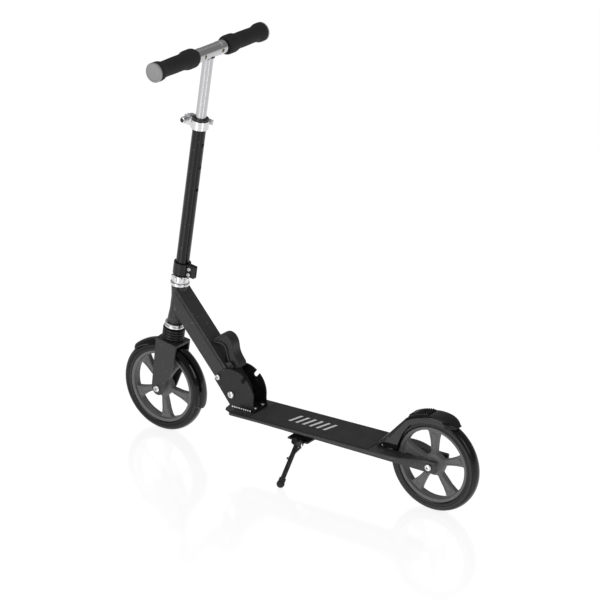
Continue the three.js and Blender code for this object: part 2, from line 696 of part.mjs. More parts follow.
const springStart = anchor.clone().addScaledVector(pull, 4).toArray();
add(scooter, 'kickstand_spring', barAlong(springStart, springEnd, 3), 'steel');

// ---------------------------------------------------------------- steering column
const holesAlong = [BUTTON_W - HOLE_PITCH, BUTTON_W, BUTTON_W + HOLE_PITCH];
let outerTube = ringZ(OUTER_TUBE_R, STEM_R + RUN, OUTER_TUBE_LOW, OUTER_TUBE_TOP);
const backwards = (r, u0, u1, v, w, steps) => (
  barZ(r, u0, u1, 0, 0, steps).rotate([0, -90, 0]).translate([0, v, w])
);
for (const w of holesAlong) {
  outerTube = cut(outerTube, backwards(HOLE_R, 8, 20, 0, w, 14));
}
add(steering, 'lower_steering_tube', outerTube, 'blackPaint');

const clampLow = OUTER_TUBE_LOW;
const clampTop = clampLow + 26;
const clampR = OUTER_TUBE_R + 4.2;
let clamp = join(
  barZ(clampR, clampLow, clampTop),
  block(-OUTER_TUBE_R - 22, 0, -6, 6, clampLow + 1, clampTop - 1),
);
clamp = cut(clamp, barZ(OUTER_TUBE_R + GAP, 0, 400), block(-50, 0, -1.5, 1.5, 0, 400));
const clampBoltR = 2.5;
const clampBolts = [['lower', clampLow + 7], ['upper', clampTop - 7]];
const clampBoltU = -OUTER_TUBE_R - 10;
for (const [, w] of clampBolts) {
  clamp = cut(clamp, barY(clampBoltR + GAP, -20, 20, clampBoltU, w, 12));
}
add(steering, 'lower_clamp', clamp, 'aluminium');
for (const [which, w] of clampBolts) {
  const bolt = join(barY(clampBoltR, -10, 7, clampBoltU, w, 12), barY(4.2, 6.3, 10.5, clampBoltU, w, 16));
  add(steering, `lower_clamp_bolt_${which}`, bolt, 'steel');
}

const collarLow = OUTER_TUBE_TOP - 4;
const collarTop = collarLow + 19;
const collarR = OUTER_TUBE_R + 4.5;
const skewer = { u: OUTER_TUBE_R + 17, w: collarLow + 11, r: 2.5 };
const earOut = 7;
const collar = cut(
  join(
    barZ(collarR, collarLow, collarTop),
    block(0, skewer.u + 6, -earOut, earOut, collarLow + 4, collarTop - 2),
  ),
  barZ(OUTER_TUBE_R + GAP, 0, 700),
  block(0, 60, -2.5, 2.5, 500, 700),
  barY(skewer.r + GAP, -30, 30, skewer.u, skewer.w, 12),
);
add(steering, 'upper_clamp', collar, 'aluminium');
const shim = turnedZ([
  [STEM_R + RUN, OUTER_TUBE_TOP + GAP], [OUTER_TUBE_R, OUTER_TUBE_TOP + GAP],
  [OUTER_TUBE_R, collarTop + GAP], [17, collarTop + GAP],
  [16.5, collarTop + 4], [STEM_R + RUN, collarTop + 4], [STEM_R + RUN, OUTER_TUBE_TOP + GAP],
]);
add(steering, 'clamp_shim', shim, 'blackPlastic');
const camY = -earOut - GAP - 6;
const skewerRod = join(
  barY(skewer.r, camY - 2, earOut + 3, skewer.u, skewer.w, 12),
  barY(6.5, earOut + GAP, earOut + 13, skewer.u, skewer.w, 20),
);
add(steering, 'clamp_skewer', skewerRod, 'steel');
const leverOut = collarR + 5.5;
const leverArm = new THREE.Shape();
leverArm.absarc(skewer.u, camY, 6, 0.5 * Math.PI, -0.75 * Math.PI, true);
leverArm.bezierCurveTo(16, -leverOut, 0, -leverOut - 1, -16, -leverOut);
leverArm.lineTo(-17, -leverOut + 3);
leverArm.bezierCurveTo(-6, -leverOut + 2.5, 8, -leverOut + 2, 16, -leverOut + 8);
const leverLow = skewer.w - 6;
// A slot across the cam keeps the lever clear of the skewer through its whole swing.
const slotHalf = skewer.r + RUN;
const slottedLever = cut(
  upright(leverArm, leverLow, skewer.w + 6, 8),
  barZ(6.6, skewer.w - slotHalf, skewer.w + slotHalf, skewer.u, camY, 24),
);
add(steering, 'clamp_lever', slottedLever, 'aluminium');

// ---------------------------------------------------------------- stem and handles
const onBar = (body) => body.translate([0, 0, BAR_W]);
let stem = join(
  barZ(STEM_R, STEM_LOW, BAR_W - 5),
  onBar(barY(TEE_R, -TEE_HALF, TEE_HALF, 0, 0, 20)),
);
const buttonR = 3.2;
const buttonHole = buttonR + RUN;
stem = cut(
  stem,
  barZ(STEM_R - STEM_WALL, STEM_LOW - 1, BAR_W),
  onBar(barY(BAR_R + RUN, -TEE_HALF - 1, TEE_HALF + 1)),
  backwards(buttonHole, 5, 20, 0, BUTTON_W, 14),
);
const handleButtonY = 29;
for (const sign of [1, -1]) {
  stem = cut(stem, backwards(HOLE_R, 5, 20, sign * handleButtonY, BAR_W, 14));
}
add(steering, 'stem', stem, 'aluminium');
const buttonTip = STEM_R - 0.1;
add(steering, 'height_button', backwards(buttonR, buttonTip - 4.5, buttonTip, 0, BUTTON_W, 14), 'brass');

const capStart = BAR_END - 4;
for (const [side, sign] of [['left', 1], ['right', -1]]) {
  const barTube = cut(
    barY(BAR_R, BAR_INNER, capStart - GAP),
    barY(BAR_R - 2.5, BAR_INNER - 1, capStart + 1),
    backwards(buttonHole, 5, 20, handleButtonY, 0, 14),
  );
  const flip = (body) => onBar(sign > 0 ? body : body.mirror([0, 1, 0]));
  add(steering, `handle_tube_${side}`, flip(barTube), 'aluminium');
  const grip = turnedY([
    [BAR_R + GAP, GRIP_START], [GRIP_R - 2, GRIP_START],
    [GRIP_R + 2, GRIP_START + 3], [GRIP_R + 3, GRIP_START + 9],
    [GRIP_R + 3, GRIP_START + 24], [GRIP_R, GRIP_START + 42],
    [GRIP_R - 1, GRIP_START + 72], [GRIP_R, GRIP_START + 100],
    [GRIP_R + 2.5, GRIP_START + 109], [GRIP_R + 3, capStart - GAP],
    [BAR_R + GAP, capStart - GAP], [BAR_R + GAP, GRIP_START],
  ], 20);
  add(steering, `grip_${side}`, flip(grip), 'rubber');
  const cap = turnedY([
    [0, capStart - 8], [BAR_R - 2.5 - GAP, capStart - 8],
    [BAR_R - 2.5 - GAP, capStart], [GRIP_R + 3, capStart],
    [GRIP_R + 3, BAR_END - 1.5], [GRIP_R + 1.5, BAR_END], [0, BAR_END],
  ], 20);
  add(steering, `end_cap_${side}`, flip(cap), 'endCap');
  const tip = BAR_R - 0.5;
  const button = backwards(buttonR, tip - 4, tip, handleButtonY, 0, 14);
  add(steering, `handle_button_${side}`, flip(button), 'brass');
}

export default scooter;
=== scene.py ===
import json
import math
import bmesh
import bpy
from mathutils import Matrix, Vector


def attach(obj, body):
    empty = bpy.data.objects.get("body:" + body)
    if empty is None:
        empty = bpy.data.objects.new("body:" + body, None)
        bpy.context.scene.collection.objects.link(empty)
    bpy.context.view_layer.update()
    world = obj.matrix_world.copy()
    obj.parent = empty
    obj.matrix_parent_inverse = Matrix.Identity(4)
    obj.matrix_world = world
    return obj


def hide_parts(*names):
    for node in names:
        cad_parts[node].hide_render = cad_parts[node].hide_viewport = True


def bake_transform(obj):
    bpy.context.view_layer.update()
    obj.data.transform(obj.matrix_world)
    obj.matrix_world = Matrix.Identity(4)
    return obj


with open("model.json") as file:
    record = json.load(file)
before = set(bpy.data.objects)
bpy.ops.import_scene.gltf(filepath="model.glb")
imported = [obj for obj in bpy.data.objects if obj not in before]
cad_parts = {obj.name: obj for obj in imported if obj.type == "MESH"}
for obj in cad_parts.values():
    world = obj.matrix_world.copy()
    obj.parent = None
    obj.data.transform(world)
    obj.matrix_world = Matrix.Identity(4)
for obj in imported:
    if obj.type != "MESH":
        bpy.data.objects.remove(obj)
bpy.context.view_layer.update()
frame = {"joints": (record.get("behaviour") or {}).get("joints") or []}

scene = bpy.context.scene

# ---- camera and studio
# A long lens looks down on the scooter from behind its left side. The floor is a plain sheet of
# pale, glossy board, lit by a white room and by softboxes on the left, behind and above.
azimuth, elevation = math.radians(215.03), math.radians(21.7)
back = Vector((
    math.sin(azimuth) * math.cos(elevation), -math.cos(azimuth) * math.cos(elevation), math.sin(elevation)
))
camera = bpy.data.objects.new("camera", bpy.data.cameras.new("camera"))
camera.data.lens = 158.9
camera.data.sensor_width = 36
camera.data.clip_end = 60
camera.location = Vector((-0.0118, 0, 0.3735)) + back * 5.3367
camera.rotation_euler = (math.pi / 2 - elevation, 0, azimuth)
scene.collection.objects.link(camera)
scene.camera = camera
scene.view_settings.view_transform = "Standard"

world = bpy.data.worlds.new("white room")
world.use_nodes = True
world.node_tree.nodes["Background"].inputs["Color"].default_value = (1, 1, 1, 1)
seen = world.node_tree.nodes.new("ShaderNodeLightPath")
glow = world.node_tree.nodes.new("ShaderNodeMapRange")
glow.inputs["To Min"].default_value = 0.3
world.node_tree.links.new(seen.outputs["Is Camera Ray"], glow.inputs["Value"])
world.node_tree.links.new(glow.outputs["Result"], world.node_tree.nodes["Background"].inputs["Strength"])
scene.world = world


def softbox(name, place, look_at, width, height, power):
    light = bpy.data.lights.new(name, "AREA")
    light.shape = "RECTANGLE"
    light.size, light.size_y, light.energy = width, height, power
    lamp = bpy.data.objects.new(name, light)
    lamp.location = place
    lamp.rotation_euler = (Vector(look_at) - Vector(place)).to_track_quat("-Z", "Y").to_euler()
    scene.collection.objects.link(lamp)


softbox("softbox_left", (0.7, 2.6, 1.3), (0, 0, 0.3), 1.6, 1.6, 30)
softbox("softbox_rear", (-2.6, 1.0, 1.9), (0, 0, 0.3), 0.8, 1.8, 17)
softbox("softbox_top", (0.4, -0.6, 3.2), (0, 0, 0.2), 2.4, 2.4, 14)

board = bpy.data.meshes.new("floor")
board.from_pydata([(-9, -9, 0), (9, -9, 0), (9, 9, 0), (-9, 9, 0)], [], [(0, 1, 2, 3)])
floor = bpy.data.objects.new("floor", board)
scene.collection.objects.link(floor)
card = bpy.data.materials.new("floor board")
card.use_nodes = True
gloss = card.node_tree.nodes["Principled BSDF"]
gloss.inputs["Base Color"].default_value = (0.3, 0.3, 0.3, 1)
gloss.inputs["IOR"].default_value = 4
gloss.inputs["Roughness"].default_value = 0.12
gloss.inputs["Emission Color"].default_value = (1, 1, 1, 1)
gloss.inputs["Emission Strength"].default_value = 0.83
floor.data.materials.append(card)

# ---- wheels
# Each wheel is a moulded nylon rim with five channelled spokes, a cast polyurethane tyre, and two
# ball bearings pressed into the hub. Sizes are in millimetres from the wheel's centre.
MM = Matrix.Scale(0.001, 4)
joints = {j["name"]: j for j in frame["joints"]}


def at(x, y, z, turn=0.0):
    return MM @ Matrix.Translation((x, y, z)) @ Matrix.Rotation(math.radians(turn), 4, "Y")


def pivot_of(name):
    return [1000 * c for c in joints[name]["pos_m"]]


def surface(name, colour, roughness, metallic=0.0, grain=900.0, depth=0.1, mottle=0.1, wear=0.0,
            stretch=(1, 1, 1)):
    """Fine grain in the bump, broad mottling in colour and roughness, and a few paler scuffs."""
    made = bpy.data.materials.new(name)
    made.use_nodes = True
    tree = made.node_tree
    shader = tree.nodes["Principled BSDF"]
    shader.inputs["Metallic"].default_value = metallic
    shader.inputs["Specular IOR Level"].default_value = 0.5 if metallic > 0.5 else 0.28
    place = tree.nodes.new("ShaderNodeTexCoord")
    along = tree.nodes.new("ShaderNodeMapping")
    along.inputs["Scale"].default_value = stretch
    tree.links.new(place.outputs["Object"], along.inputs["Vector"])
    fine = tree.nodes.new("ShaderNodeTexNoise")
    fine.inputs["Scale"].default_value = grain
    fine.inputs["Detail"].default_value = 3
    tree.links.new(along.outputs["Vector"], fine.inputs["Vector"])
    broad = tree.nodes.new("ShaderNodeTexNoise")
    broad.inputs["Scale"].default_value = 28
    broad.inputs["Detail"].default_value = 4
    tree.links.new(along.outputs["Vector"], broad.inputs["Vector"])
    shade = tree.nodes.new("ShaderNodeMix")
    shade.data_type = "RGBA"
    shade.inputs["A"].default_value = [c * (1 - mottle) for c in colour] + [1]
    shade.inputs["B"].default_value = [min(1, c * (1 + mottle)) for c in colour] + [1]
    tree.links.new(broad.outputs["Fac"], shade.inputs["Factor"])
    tone = shade.outputs["Result"]
    if wear:
        scuffs = tree.nodes.new("ShaderNodeTexNoise")
        scuffs.inputs["Scale"].default_value = 160
        scuffs.inputs["Detail"].default_value = 6
        tree.links.new(along.outputs["Vector"], scuffs.inputs["Vector"])
        ramp = tree.nodes.new("ShaderNodeMapRange")
        ramp.inputs["From Min"].default_value = 0.62
        ramp.inputs["From Max"].default_value = 0.78
        ramp.inputs["To Max"].default_value = wear
        tree.links.new(scuffs.outputs["Fac"], ramp.inputs["Value"])
        worn = tree.nodes.new("ShaderNodeMix")
        worn.data_type = "RGBA"
        worn.inputs["B"].default_value = (0.32, 0.32, 0.33, 1)
        tree.links.new(ramp.outputs["Result"], worn.inputs["Factor"])
        tree.links.new(tone, worn.inputs["A"])
        tone = worn.outputs["Result"]
    tree.links.new(tone, shader.inputs["Base Color"])
    rough = tree.nodes.new("ShaderNodeMapRange")
    rough.inputs["To Min"].default_value = max(0.03, roughness - 0.08)
    rough.inputs["To Max"].default_value = min(1, roughness + 0.08)
    tree.links.new(broad.outputs["Fac"], rough.inputs["Value"])
    tree.links.new(rough.outputs["Result"], shader.inputs["Roughness"])
    bump = tree.nodes.new("ShaderNodeBump")
    bump.inputs["Strength"].default_value = depth
    bump.inputs["Distance"].default_value = 0.0004
    tree.links.new(fine.outputs["Fac"], bump.inputs["Height"])
    tree.links.new(bump.outputs["Normal"], shader.inputs["Normal"])
    return made


def revolve(profile, steps=64, axis="Y"):
    """A closed profile of (radius, height) turned about the axis."""
    shape = bmesh.new()
    rings = []
    for i in range(steps):
        a = 2 * math.pi * i / steps
        rings.append([shape.verts.new((r * math.cos(a), h, r * math.sin(a))) for r, h in profile])
    for i, ring in enumerate(rings):
        after = rings[(i + 1) % steps]
        for j in range(len(profile)):
            k = (j + 1) % len(profile)
            shape.faces.new((ring[j], after[j], after[k], ring[k]))
    bmesh.ops.remove_doubles(shape, verts=shape.verts, dist=1e-4)
    if axis == "Z":
        shape.transform(Matrix.Rotation(math.radians(90), 4, "X"))
    bmesh.ops.recalc_face_normals(shape, faces=shape.faces)
    return shape


def with_modifiers(thing):
    """A new mesh of an object with its modifiers applied."""
    scene.collection.objects.link(thing)
    bpy.context.view_layer.update()
    return bpy.data.meshes.new_from_object(thing.evaluated_get(bpy.context.evaluated_depsgraph_get()))


def evaluated(thing):
    """What an object becomes with its modifiers, as a bmesh; the object itself is thrown away."""
    mesh = with_modifiers(thing)
    shape = bmesh.new()
    shape.from_mesh(mesh)
    bpy.data.objects.remove(thing)
    bpy.data.meshes.remove(mesh)
    return shape


def holder(shape):
    mesh = bpy.data.meshes.new("raw")
    shape.to_mesh(mesh)
    shape.free()
    return bpy.data.objects.new("raw", mesh)


def plate(outlines, low, high, bevel=1.0, flat=False):
    """A plate with holes and rounded edges, cut in X and Z from y low to high, or flat in X and Y."""
    curve = bpy.data.curves.new("raw", "CURVE")
    curve.dimensions = "2D"
    curve.fill_mode = "BOTH"
    curve.extrude = (high - low) / 2 - bevel
    curve.bevel_depth = bevel
    curve.bevel_resolution = 2
    curve.offset = -bevel
    for outline in outlines:
        spline = curve.splines.new("POLY")
        spline.points.add(len(outline) - 1)
        for point, (x, y) in zip(spline.points, outline):
            point.co = (x, y, 0, 1)
        spline.use_cyclic_u = True
    shape = evaluated(bpy.data.objects.new("raw", curve))
    if not flat:
        shape.transform(Matrix.Rotation(math.radians(90), 4, "X"))
    middle = (low + high) / 2
    shape.transform(Matrix.Translation((0, 0, middle) if flat else (0, middle, 0)))
    bmesh.ops.remove_doubles(shape, verts=shape.verts, dist=1e-3)
    bmesh.ops.recalc_face_normals(shape, faces=shape.faces)
    return shape


def fillet(corners, steps=5):
    """A closed outline of (x, y, radius) corners, with each corner rounded to its radius."""
    out = []
    for i, (x, y, radius) in enumerate(corners):
        here = Vector((x, y))
        before = Vector(corners[i - 1][:2]) - here
        after = Vector(corners[(i + 1) % len(corners)][:2]) - here
        if radius == 0:
            out.append((x, y))
            continue
        half = before.angle(after) / 2
        reach = min(radius / math.tan(half), 0.49 * before.length, 0.49 * after.length)
        a, b = here + before.normalized() * reach, here + after.normalized() * reach
        for k in range(steps + 1):
            t = k / steps
            out.append(tuple((1 - t) ** 2 * a + 2 * t * (1 - t) * here + t * t * b))
    return out


def arc(radius, first, last, steps, x=0.0, y=0.0):
    turns = [math.radians(first + (last - first) * i / steps) for i in range(steps + 1)]
    return [(x + radius * math.cos(a), y + radius * math.sin(a)) for a in turns]


def joined(*shapes):
    whole = bmesh.new()
    for shape in shapes:
        mesh = bpy.data.meshes.new("raw")
        shape.to_mesh(mesh)
        shape.free()
        whole.from_mesh(mesh)
        bpy.data.meshes.remove(mesh)
    return whole


def socket(tree, name, kind, value=None):
    made = tree.interface.new_socket(name=name, in_out="INPUT", socket_type="NodeSocket" + kind)
    if value is not None:
        made.default_value = value
    return made.identifier


def repeat_tree():
    """Copies of a mesh, each moved by Step and turned by Turn from the one before."""
    tree = bpy.data.node_groups.new("repeat", "GeometryNodeTree")
    sockets = {"Geometry": socket(tree, "Geometry", "Geometry")}
    sockets["Count"] = socket(tree, "Count", "Int", 5)
    sockets["Step"] = socket(tree, "Step", "Vector")
    sockets["Turn"] = socket(tree, "Turn", "Vector")
    sockets["Finish"] = socket(tree, "Finish", "Material")
    tree.interface.new_socket(name="Geometry", in_out="OUTPUT", socket_type="NodeSocketGeometry")
    made = tree.nodes.new
    given, result = made("NodeGroupInput"), made("NodeGroupOutput")
    row, number = made("GeometryNodeMeshLine"), made("GeometryNodeInputIndex")
    turn = made("ShaderNodeVectorMath")
    copies, real = made("GeometryNodeInstanceOnPoints"), made("GeometryNodeRealizeInstances")
    finish = made("GeometryNodeSetMaterial")
    turn.operation = "SCALE"
    link = tree.links.new
    link(given.outputs["Count"], row.inputs["Count"])
    link(given.outputs["Step"], row.inputs["Offset"])
    link(given.outputs["Turn"], turn.inputs[0])
    link(number.outputs["Index"], turn.inputs["Scale"])
    link(row.outputs["Mesh"], copies.inputs["Points"])
    link(given.outputs["Geometry"], copies.inputs["Instance"])
    link(turn.outputs["Vector"], copies.inputs["Rotation"])
    link(copies.outputs["Instances"], real.inputs["Geometry"])
    link(real.outputs["Geometry"], finish.inputs["Geometry"])
    link(given.outputs["Finish"], finish.inputs["Material"])
    link(finish.outputs["Geometry"], result.inputs[0])
    return tree, sockets


REPEAT, REPEAT_SOCKETS = repeat_tree()


def repeated(shape, count, finish, step=(0, 0, 0), turn=(0, 0, 0)):
    thing = holder(shape)
    nodes = thing.modifiers.new("repeat", "NODES")
    nodes.node_group = REPEAT
    nodes[REPEAT_SOCKETS["Count"]] = count
    nodes[REPEAT_SOCKETS["Step"]] = step
    nodes[REPEAT_SOCKETS["Turn"]] = [math.radians(t) for t in turn]
    nodes[REPEAT_SOCKETS["Finish"]] = finish
    return evaluated(thing)


def bevelled(shape, width, segments, angle):
    thing = holder(shape)
    edge = thing.modifiers.new("bevel", "BEVEL")
    edge.width, edge.segments, edge.angle_limit = width, segments, math.radians(angle)
    return evaluated(thing)


def piece(name, shape, place, finish, body, nodes=(), bevel=0.0, smooth=38):
    """Gives a shape its bevel, its place, its finish and its body. A piece that bends has no body."""
    if bevel:
        shape = bevelled(shape, bevel, 2, 38)
    mesh = bpy.data.meshes.new(name)
    shape.to_mesh(mesh)
    shape.free()
    mesh.transform(place)
    mesh.materials.clear()
    mesh.materials.append(finish)
    mesh.polygons.foreach_set("material_index", [0] * len(mesh.polygons))
    mesh.polygons.foreach_set("use_smooth", [True] * len(mesh.polygons))
    mesh.set_sharp_from_angle(angle=math.radians(smooth))
    thing = bpy.data.objects.new(name, mesh)
    thing.modifiers.new("weighted", "WEIGHTED_NORMAL").keep_sharp = True
    shaded = with_modifiers(thing)
    thing.modifiers.clear()
    thing.data = shaded
    if body:
        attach(thing, body)
    if nodes:
        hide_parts(*nodes)
    return thing


tyre_finish = surface("cast polyurethane", (0.004, 0.004, 0.0042), 0.24, grain=500, depth=0.06, mottle=0.2)
rim_finish = surface("grey nylon", (0.12, 0.12, 0.123), 0.5, grain=1500, depth=0.12, mottle=0.08, wear=0.25)
steel_finish = surface("zinc plated steel", (0.62, 0.62, 0.63), 0.26, 1.0, grain=1200, depth=0.05)



def both_sides(side):
    """A wheel profile from its left half."""
    return side + [(r, -y) for r, y in reversed(side)]


TYRE = both_sides([
    (80.3, 10.6), (81.4, 11.6), (84.0, 12.3), (86.2, 12.5), (86.8, 12.0), (87.8, 12.0), (88.4, 12.8),
    (91.5, 13.1), (94.4, 12.4), (96.8, 10.6), (98.6, 7.8), (99.6, 4.4), (100, 1.5),
])
BAND = both_sides([(73.0, 8.2), (73.6, 10.0), (75.6, 10.9), (79.2, 11.4), (80.0, 10.4)])
HUB = both_sides([(11.3, 18.0), (14.4, 18.0), (15.2, 17.2), (15.8, 11.0), (21.5, 8.4), (23.0, 7.0)])
BEARING = both_sides([(4.3, 3.5), (6.1, 3.5), (6.4, 3.0), (9.0, 3.0), (9.3, 3.5), (10.6, 3.5), (11.0, 3.1)])
BEARING_OUT = 14.5
SPOKES = 5


def spoke_half(r):
    return 5.9 + 7.4 * (max(0, r - 30) / 42) ** 1.7


def opening(middle):
    """The rounded gap between two spokes, about a line at this angle."""
    side = []
    for r, radius in ((25, 3), (40, 0), (52, 0), (63, 0), (72.4, 7.5)):
        side.append((r, 36 - math.degrees(math.asin(min(0.58, spoke_half(r) / r))), radius))
    corners = [(r, -h, radius) for r, h, radius in side]
    corners += [(72.6, h * side[-1][1], 0) for h in (-0.5, 0, 0.5)]
    corners += [(r, h, radius) for r, h, radius in reversed(side)]
    placed = []
    for r, h, radius in corners:
        a = math.radians(middle + h)
        placed.append((r * math.cos(a), r * math.sin(a), radius))
    return fillet(placed)


def slot_outline(x0, x1, half0, half1):
    return fillet([(x0, -half0, half0), (x1, -half1, half1), (x1, half1, half1), (x0, half0, half0)])


def add_wheel(end, body, joint, first_spoke):
    x, y, z = pivot_of(joint)
    place = at(x, y, z)
    piece(f"tyre_{end}_cast", revolve(TYRE, 128), place, tyre_finish, body, [f"tyre_{end}"])
    gaps = [opening((i + 0.5) * 360 / SPOKES) for i in range(SPOKES)]
    web = plate([arc(74.4, 0, 357, 119), arc(11.4, 0, 350, 35)] + gaps, -6.2, 6.2, 1.6)
    rib = plate([slot_outline(28, 67, 5.0, 8.4), slot_outline(31, 63, 2.6, 5.0)], -7.4, 7.4, 0.9)
    ribs = repeated(rib, SPOKES, rim_finish, turn=(0, -360 / SPOKES, 0))
    spokes = joined(web, ribs)
    spokes.transform(Matrix.Rotation(math.radians(-first_spoke), 4, "Y"))
    rim = joined(revolve(BAND, 128), revolve(HUB, 48), spokes)
    piece(f"rim_{end}_moulded", rim, place, rim_finish, body, [f"rim_{end}"])
    for side, sign in (("left", 1), ("right", -1)):
        node = f"bearing_{end}_{side}"
        seat = at(x, y + sign * BEARING_OUT, z)
        piece(f"{node}_races", revolve(BEARING, 40), seat, steel_finish, body, [node])


add_wheel("rear", "rear_wheel", "rear_wheel_spin", 17)
add_wheel("front", "front_wheel", "front_wheel_spin", -24.5)

# ---- deck
# A pressed steel plate with a satin grey coat lies on two rails and necks down to the rear
# wheel's arms. Sandpaper-like tape is stuck on top, with a printed row of plain bars.
DECK_HEIGHT, DECK_SLOPE, DECK_THICK = 108.3, 0.018, 6
deck_place = at(0, 0, DECK_HEIGHT, math.degrees(math.atan(DECK_SLOPE)))
ground = at(0, 0, 0)
satin_coat = surface("satin grey coat", (0.036, 0.036, 0.0375), 0.4, 0.2, grain=1400, depth=0.14, mottle=0.12,
                     wear=0.3)


def bend(start, pull_a, pull_b, end, steps=10):
    """Points of a curve after its start."""
    points = [Vector(p) for p in (start, pull_a, pull_b, end)]
    out = []
    for i in range(1, steps + 1):
        t = i / steps
        weights = ((1 - t) ** 3, 3 * t * (1 - t) ** 2, 3 * t * t * (1 - t), t ** 3)
        out.append(tuple(sum((w * p for w, p in zip(weights, points)), Vector((0, 0)))))
    return out


left_side = [(131, 49.5), (-263, 49.5)] + bend((-263, 49.5), (-293, 49.5), (-313, 27.6), (-340, 27.6))
left_side += [(-353, 27.6), (-357, 25.5), (-358, 22), (-358, 18.6), (-235, 18.6), (-233, 16.6)]
deck_outline = [(135, -45.5), (135, 45.5), (134, 48.3)] + left_side
deck_outline += [(x, -y) for x, y in reversed(left_side)] + [(134, -48.3)]
deck_plate = plate([deck_outline], -DECK_THICK, 0, 1.2, flat=True)
piece("deck_plate_pressed", deck_plate, deck_place, satin_coat, "chassis", ["deck_plate"])

tape_finish = surface("grit tape", (0.038, 0.038, 0.039), 0.86, grain=620, depth=0.9, mottle=0.35)
grit_tree = tape_finish.node_tree
grains = grit_tree.nodes.new("ShaderNodeTexVoronoi")
grains.inputs["Scale"].default_value = 1400
grit_place = next(n for n in grit_tree.nodes if n.bl_idname == "ShaderNodeTexCoord")
grit_tree.links.new(grit_place.outputs["Object"], grains.inputs["Vector"])
grit_bump = next(n for n in grit_tree.nodes if n.bl_idname == "ShaderNodeBump")
grit_tree.links.new(grains.outputs["Distance"], grit_bump.inputs["Height"])
tape = plate([fillet([(-209, -46, 6), (82, -46, 6), (82, 46, 6), (-209, 46, 6)])], 0.3, 1.1, 0.15, flat=True)
piece("grip_tape_sheet", tape, deck_place, tape_finish, "chassis", ["grip_tape"])
# This white finish is real print on the tape's bars, and painted highlight where it makes the glints on the
# bracket flange.
print_and_glint_finish = surface("white print and painted glint", (0.72, 0.72, 0.72), 0.7, grain=620, depth=0.5, mottle=0.15)
bar = plate([[(-3.2, -17), (3.2, -17), (12, 17), (5.6, 17)]], 1.08, 1.2, 0.02, flat=True)
bars = repeated(bar, 6, print_and_glint_finish, step=(-17, 0, 0))
bars.transform(Matrix.Translation((-6, 0, 0)))
piece("tape_printed_bars", bars, deck_place, print_and_glint_finish, "chassis")


def prism(outline, low, high):
    """An outline in X and Z, made solid from y low to high."""
    shape = bmesh.new()
    front = [shape.verts.new((x, low, z)) for x, z in outline]
    rear = [shape.verts.new((x, high, z)) for x, z in outline]
    shape.faces.new(front)
    shape.faces.new(list(reversed(rear)))
    for i, corner in enumerate(front):
        k = (i + 1) % len(front)
        shape.faces.new((corner, front[k], rear[k], rear[i]))
    bmesh.ops.recalc_face_normals(shape, faces=shape.faces)
    return shape


def deck_under(x):
    return DECK_HEIGHT - DECK_SLOPE * x - DECK_THICK - 0.4


RAIL_LOW, RAIL_IN, RAIL_OUT = 88, 19.6, 25.6
rail_side = [(-354, RAIL_LOW), (133, RAIL_LOW), (133, deck_under(133)), (-357, deck_under(-357)), (-357, 92)]
for side, low, high in (("left", RAIL_IN, RAIL_OUT), ("right", -RAIL_OUT, -RAIL_IN)):
    piece(f"rail_{side}_bar", prism(rail_side, low, high), ground, satin_coat, "chassis",
          [f"rail_{side}"], bevel=1.0)


def rod(start, end, radius, steps=24):
    """A round bar between two points."""
    a, b = Vector(start), Vector(end)
    shape = bmesh.new()
    bmesh.ops.create_cone(shape, cap_ends=True, segments=steps, radius1=radius, radius2=radius,
                          depth=(b - a).length)
    turn = Vector((0, 0, 1)).rotation_difference(b - a).to_matrix().to_4x4()
    shape.transform(Matrix.Translation((a + b) / 2) @ turn)
    return shape


def carve(shape, *cutters):
    """Takes each cutter out of the shape."""
    body = holder(shape)
    tools = []
    for cutter in cutters:
        tool = holder(cutter)
        scene.collection.objects.link(tool)
        step = body.modifiers.new("cut", "BOOLEAN")
        step.operation, step.solver, step.object = "DIFFERENCE", "EXACT", tool
        tools.append(tool)
    out = evaluated(body)
    for tool in tools:
        bpy.data.objects.remove(tool)
    return out


def bolt_head(radius, height, socket_radius):
    """A low domed head with a hexagon socket, standing on y = 0 and facing +Y."""
    head = revolve([(0, 0), (radius, 0), (radius, height * 0.45), (radius * 0.93, height * 0.75),
                    (radius * 0.72, height), (0, height)], 40)
    return carve(head, rod((0, height * 0.35, 0), (0, height + 2, 0), socket_radius, 6))


def nut(radius, thickness, bore):
    """A hexagon nut, from y = 0 down to minus its thickness; its corners are bevelled later, when it is made
    a piece.
    """
    return carve(rod((0, 0, 0), (0, -thickness, 0), radius, 6), rod((0, 1, 0), (0, -thickness - 1, 0), bore))


def through_bolt(bolt, nut_node, x, z, shank, head, outer, body, place_of=at):
    """A bolt along Y with its head on the left, and its nut on the right."""
    dome = bolt_head(head, 4.2, head * 0.5)
    dome.transform(Matrix.Translation((0, outer + 0.3, 0)))
    whole = joined(dome, rod((0, -outer - 6, 0), (0, outer + 1, 0), shank))
    piece(f"{bolt}_turned", whole, place_of(x, 0, z), steel_finish, body, [bolt], bevel=0.25)
    ring = nut(head * 0.98, 4.7, shank + 0.2)
    ring.transform(Matrix.Translation((0, -outer - 0.3, 0)))
    piece(f"{nut_node}_hexagon", ring, place_of(x, 0, z), steel_finish, body, [nut_node], bevel=0.5)


rear_x, _, axle_z = pivot_of("rear_wheel_spin")
AXLE_R, AXLE_HEAD = 4, 7.5
through_bolt("axle_bolt_rear", "axle_nut_rear", rear_x, axle_z, AXLE_R, AXLE_HEAD, RAIL_OUT, "chassis")

# ---- fold bracket
# Two laser-cut steel sectors stand on a base pressed round the deck's front end. A bolt through
# both is the fold pivot, and a second one lies in the front notches and locks the tube.
fold_x, _, fold_z = pivot_of("fold")
SECTOR_R, LOCK_R, LOCK_ANGLE, NOTCH_HALF = 56, 46, 43, 4.4
BRACKET_OUT, SECTOR_THICK = 24.4, 3


def on_sector(radius, angle):
    return (fold_x + radius * math.cos(math.radians(angle)), fold_z + radius * math.sin(math.radians(angle)))


def notch_end(angle):
    return arc(NOTCH_HALF, angle + 90, angle + 270, 10, *on_sector(LOCK_R, angle))


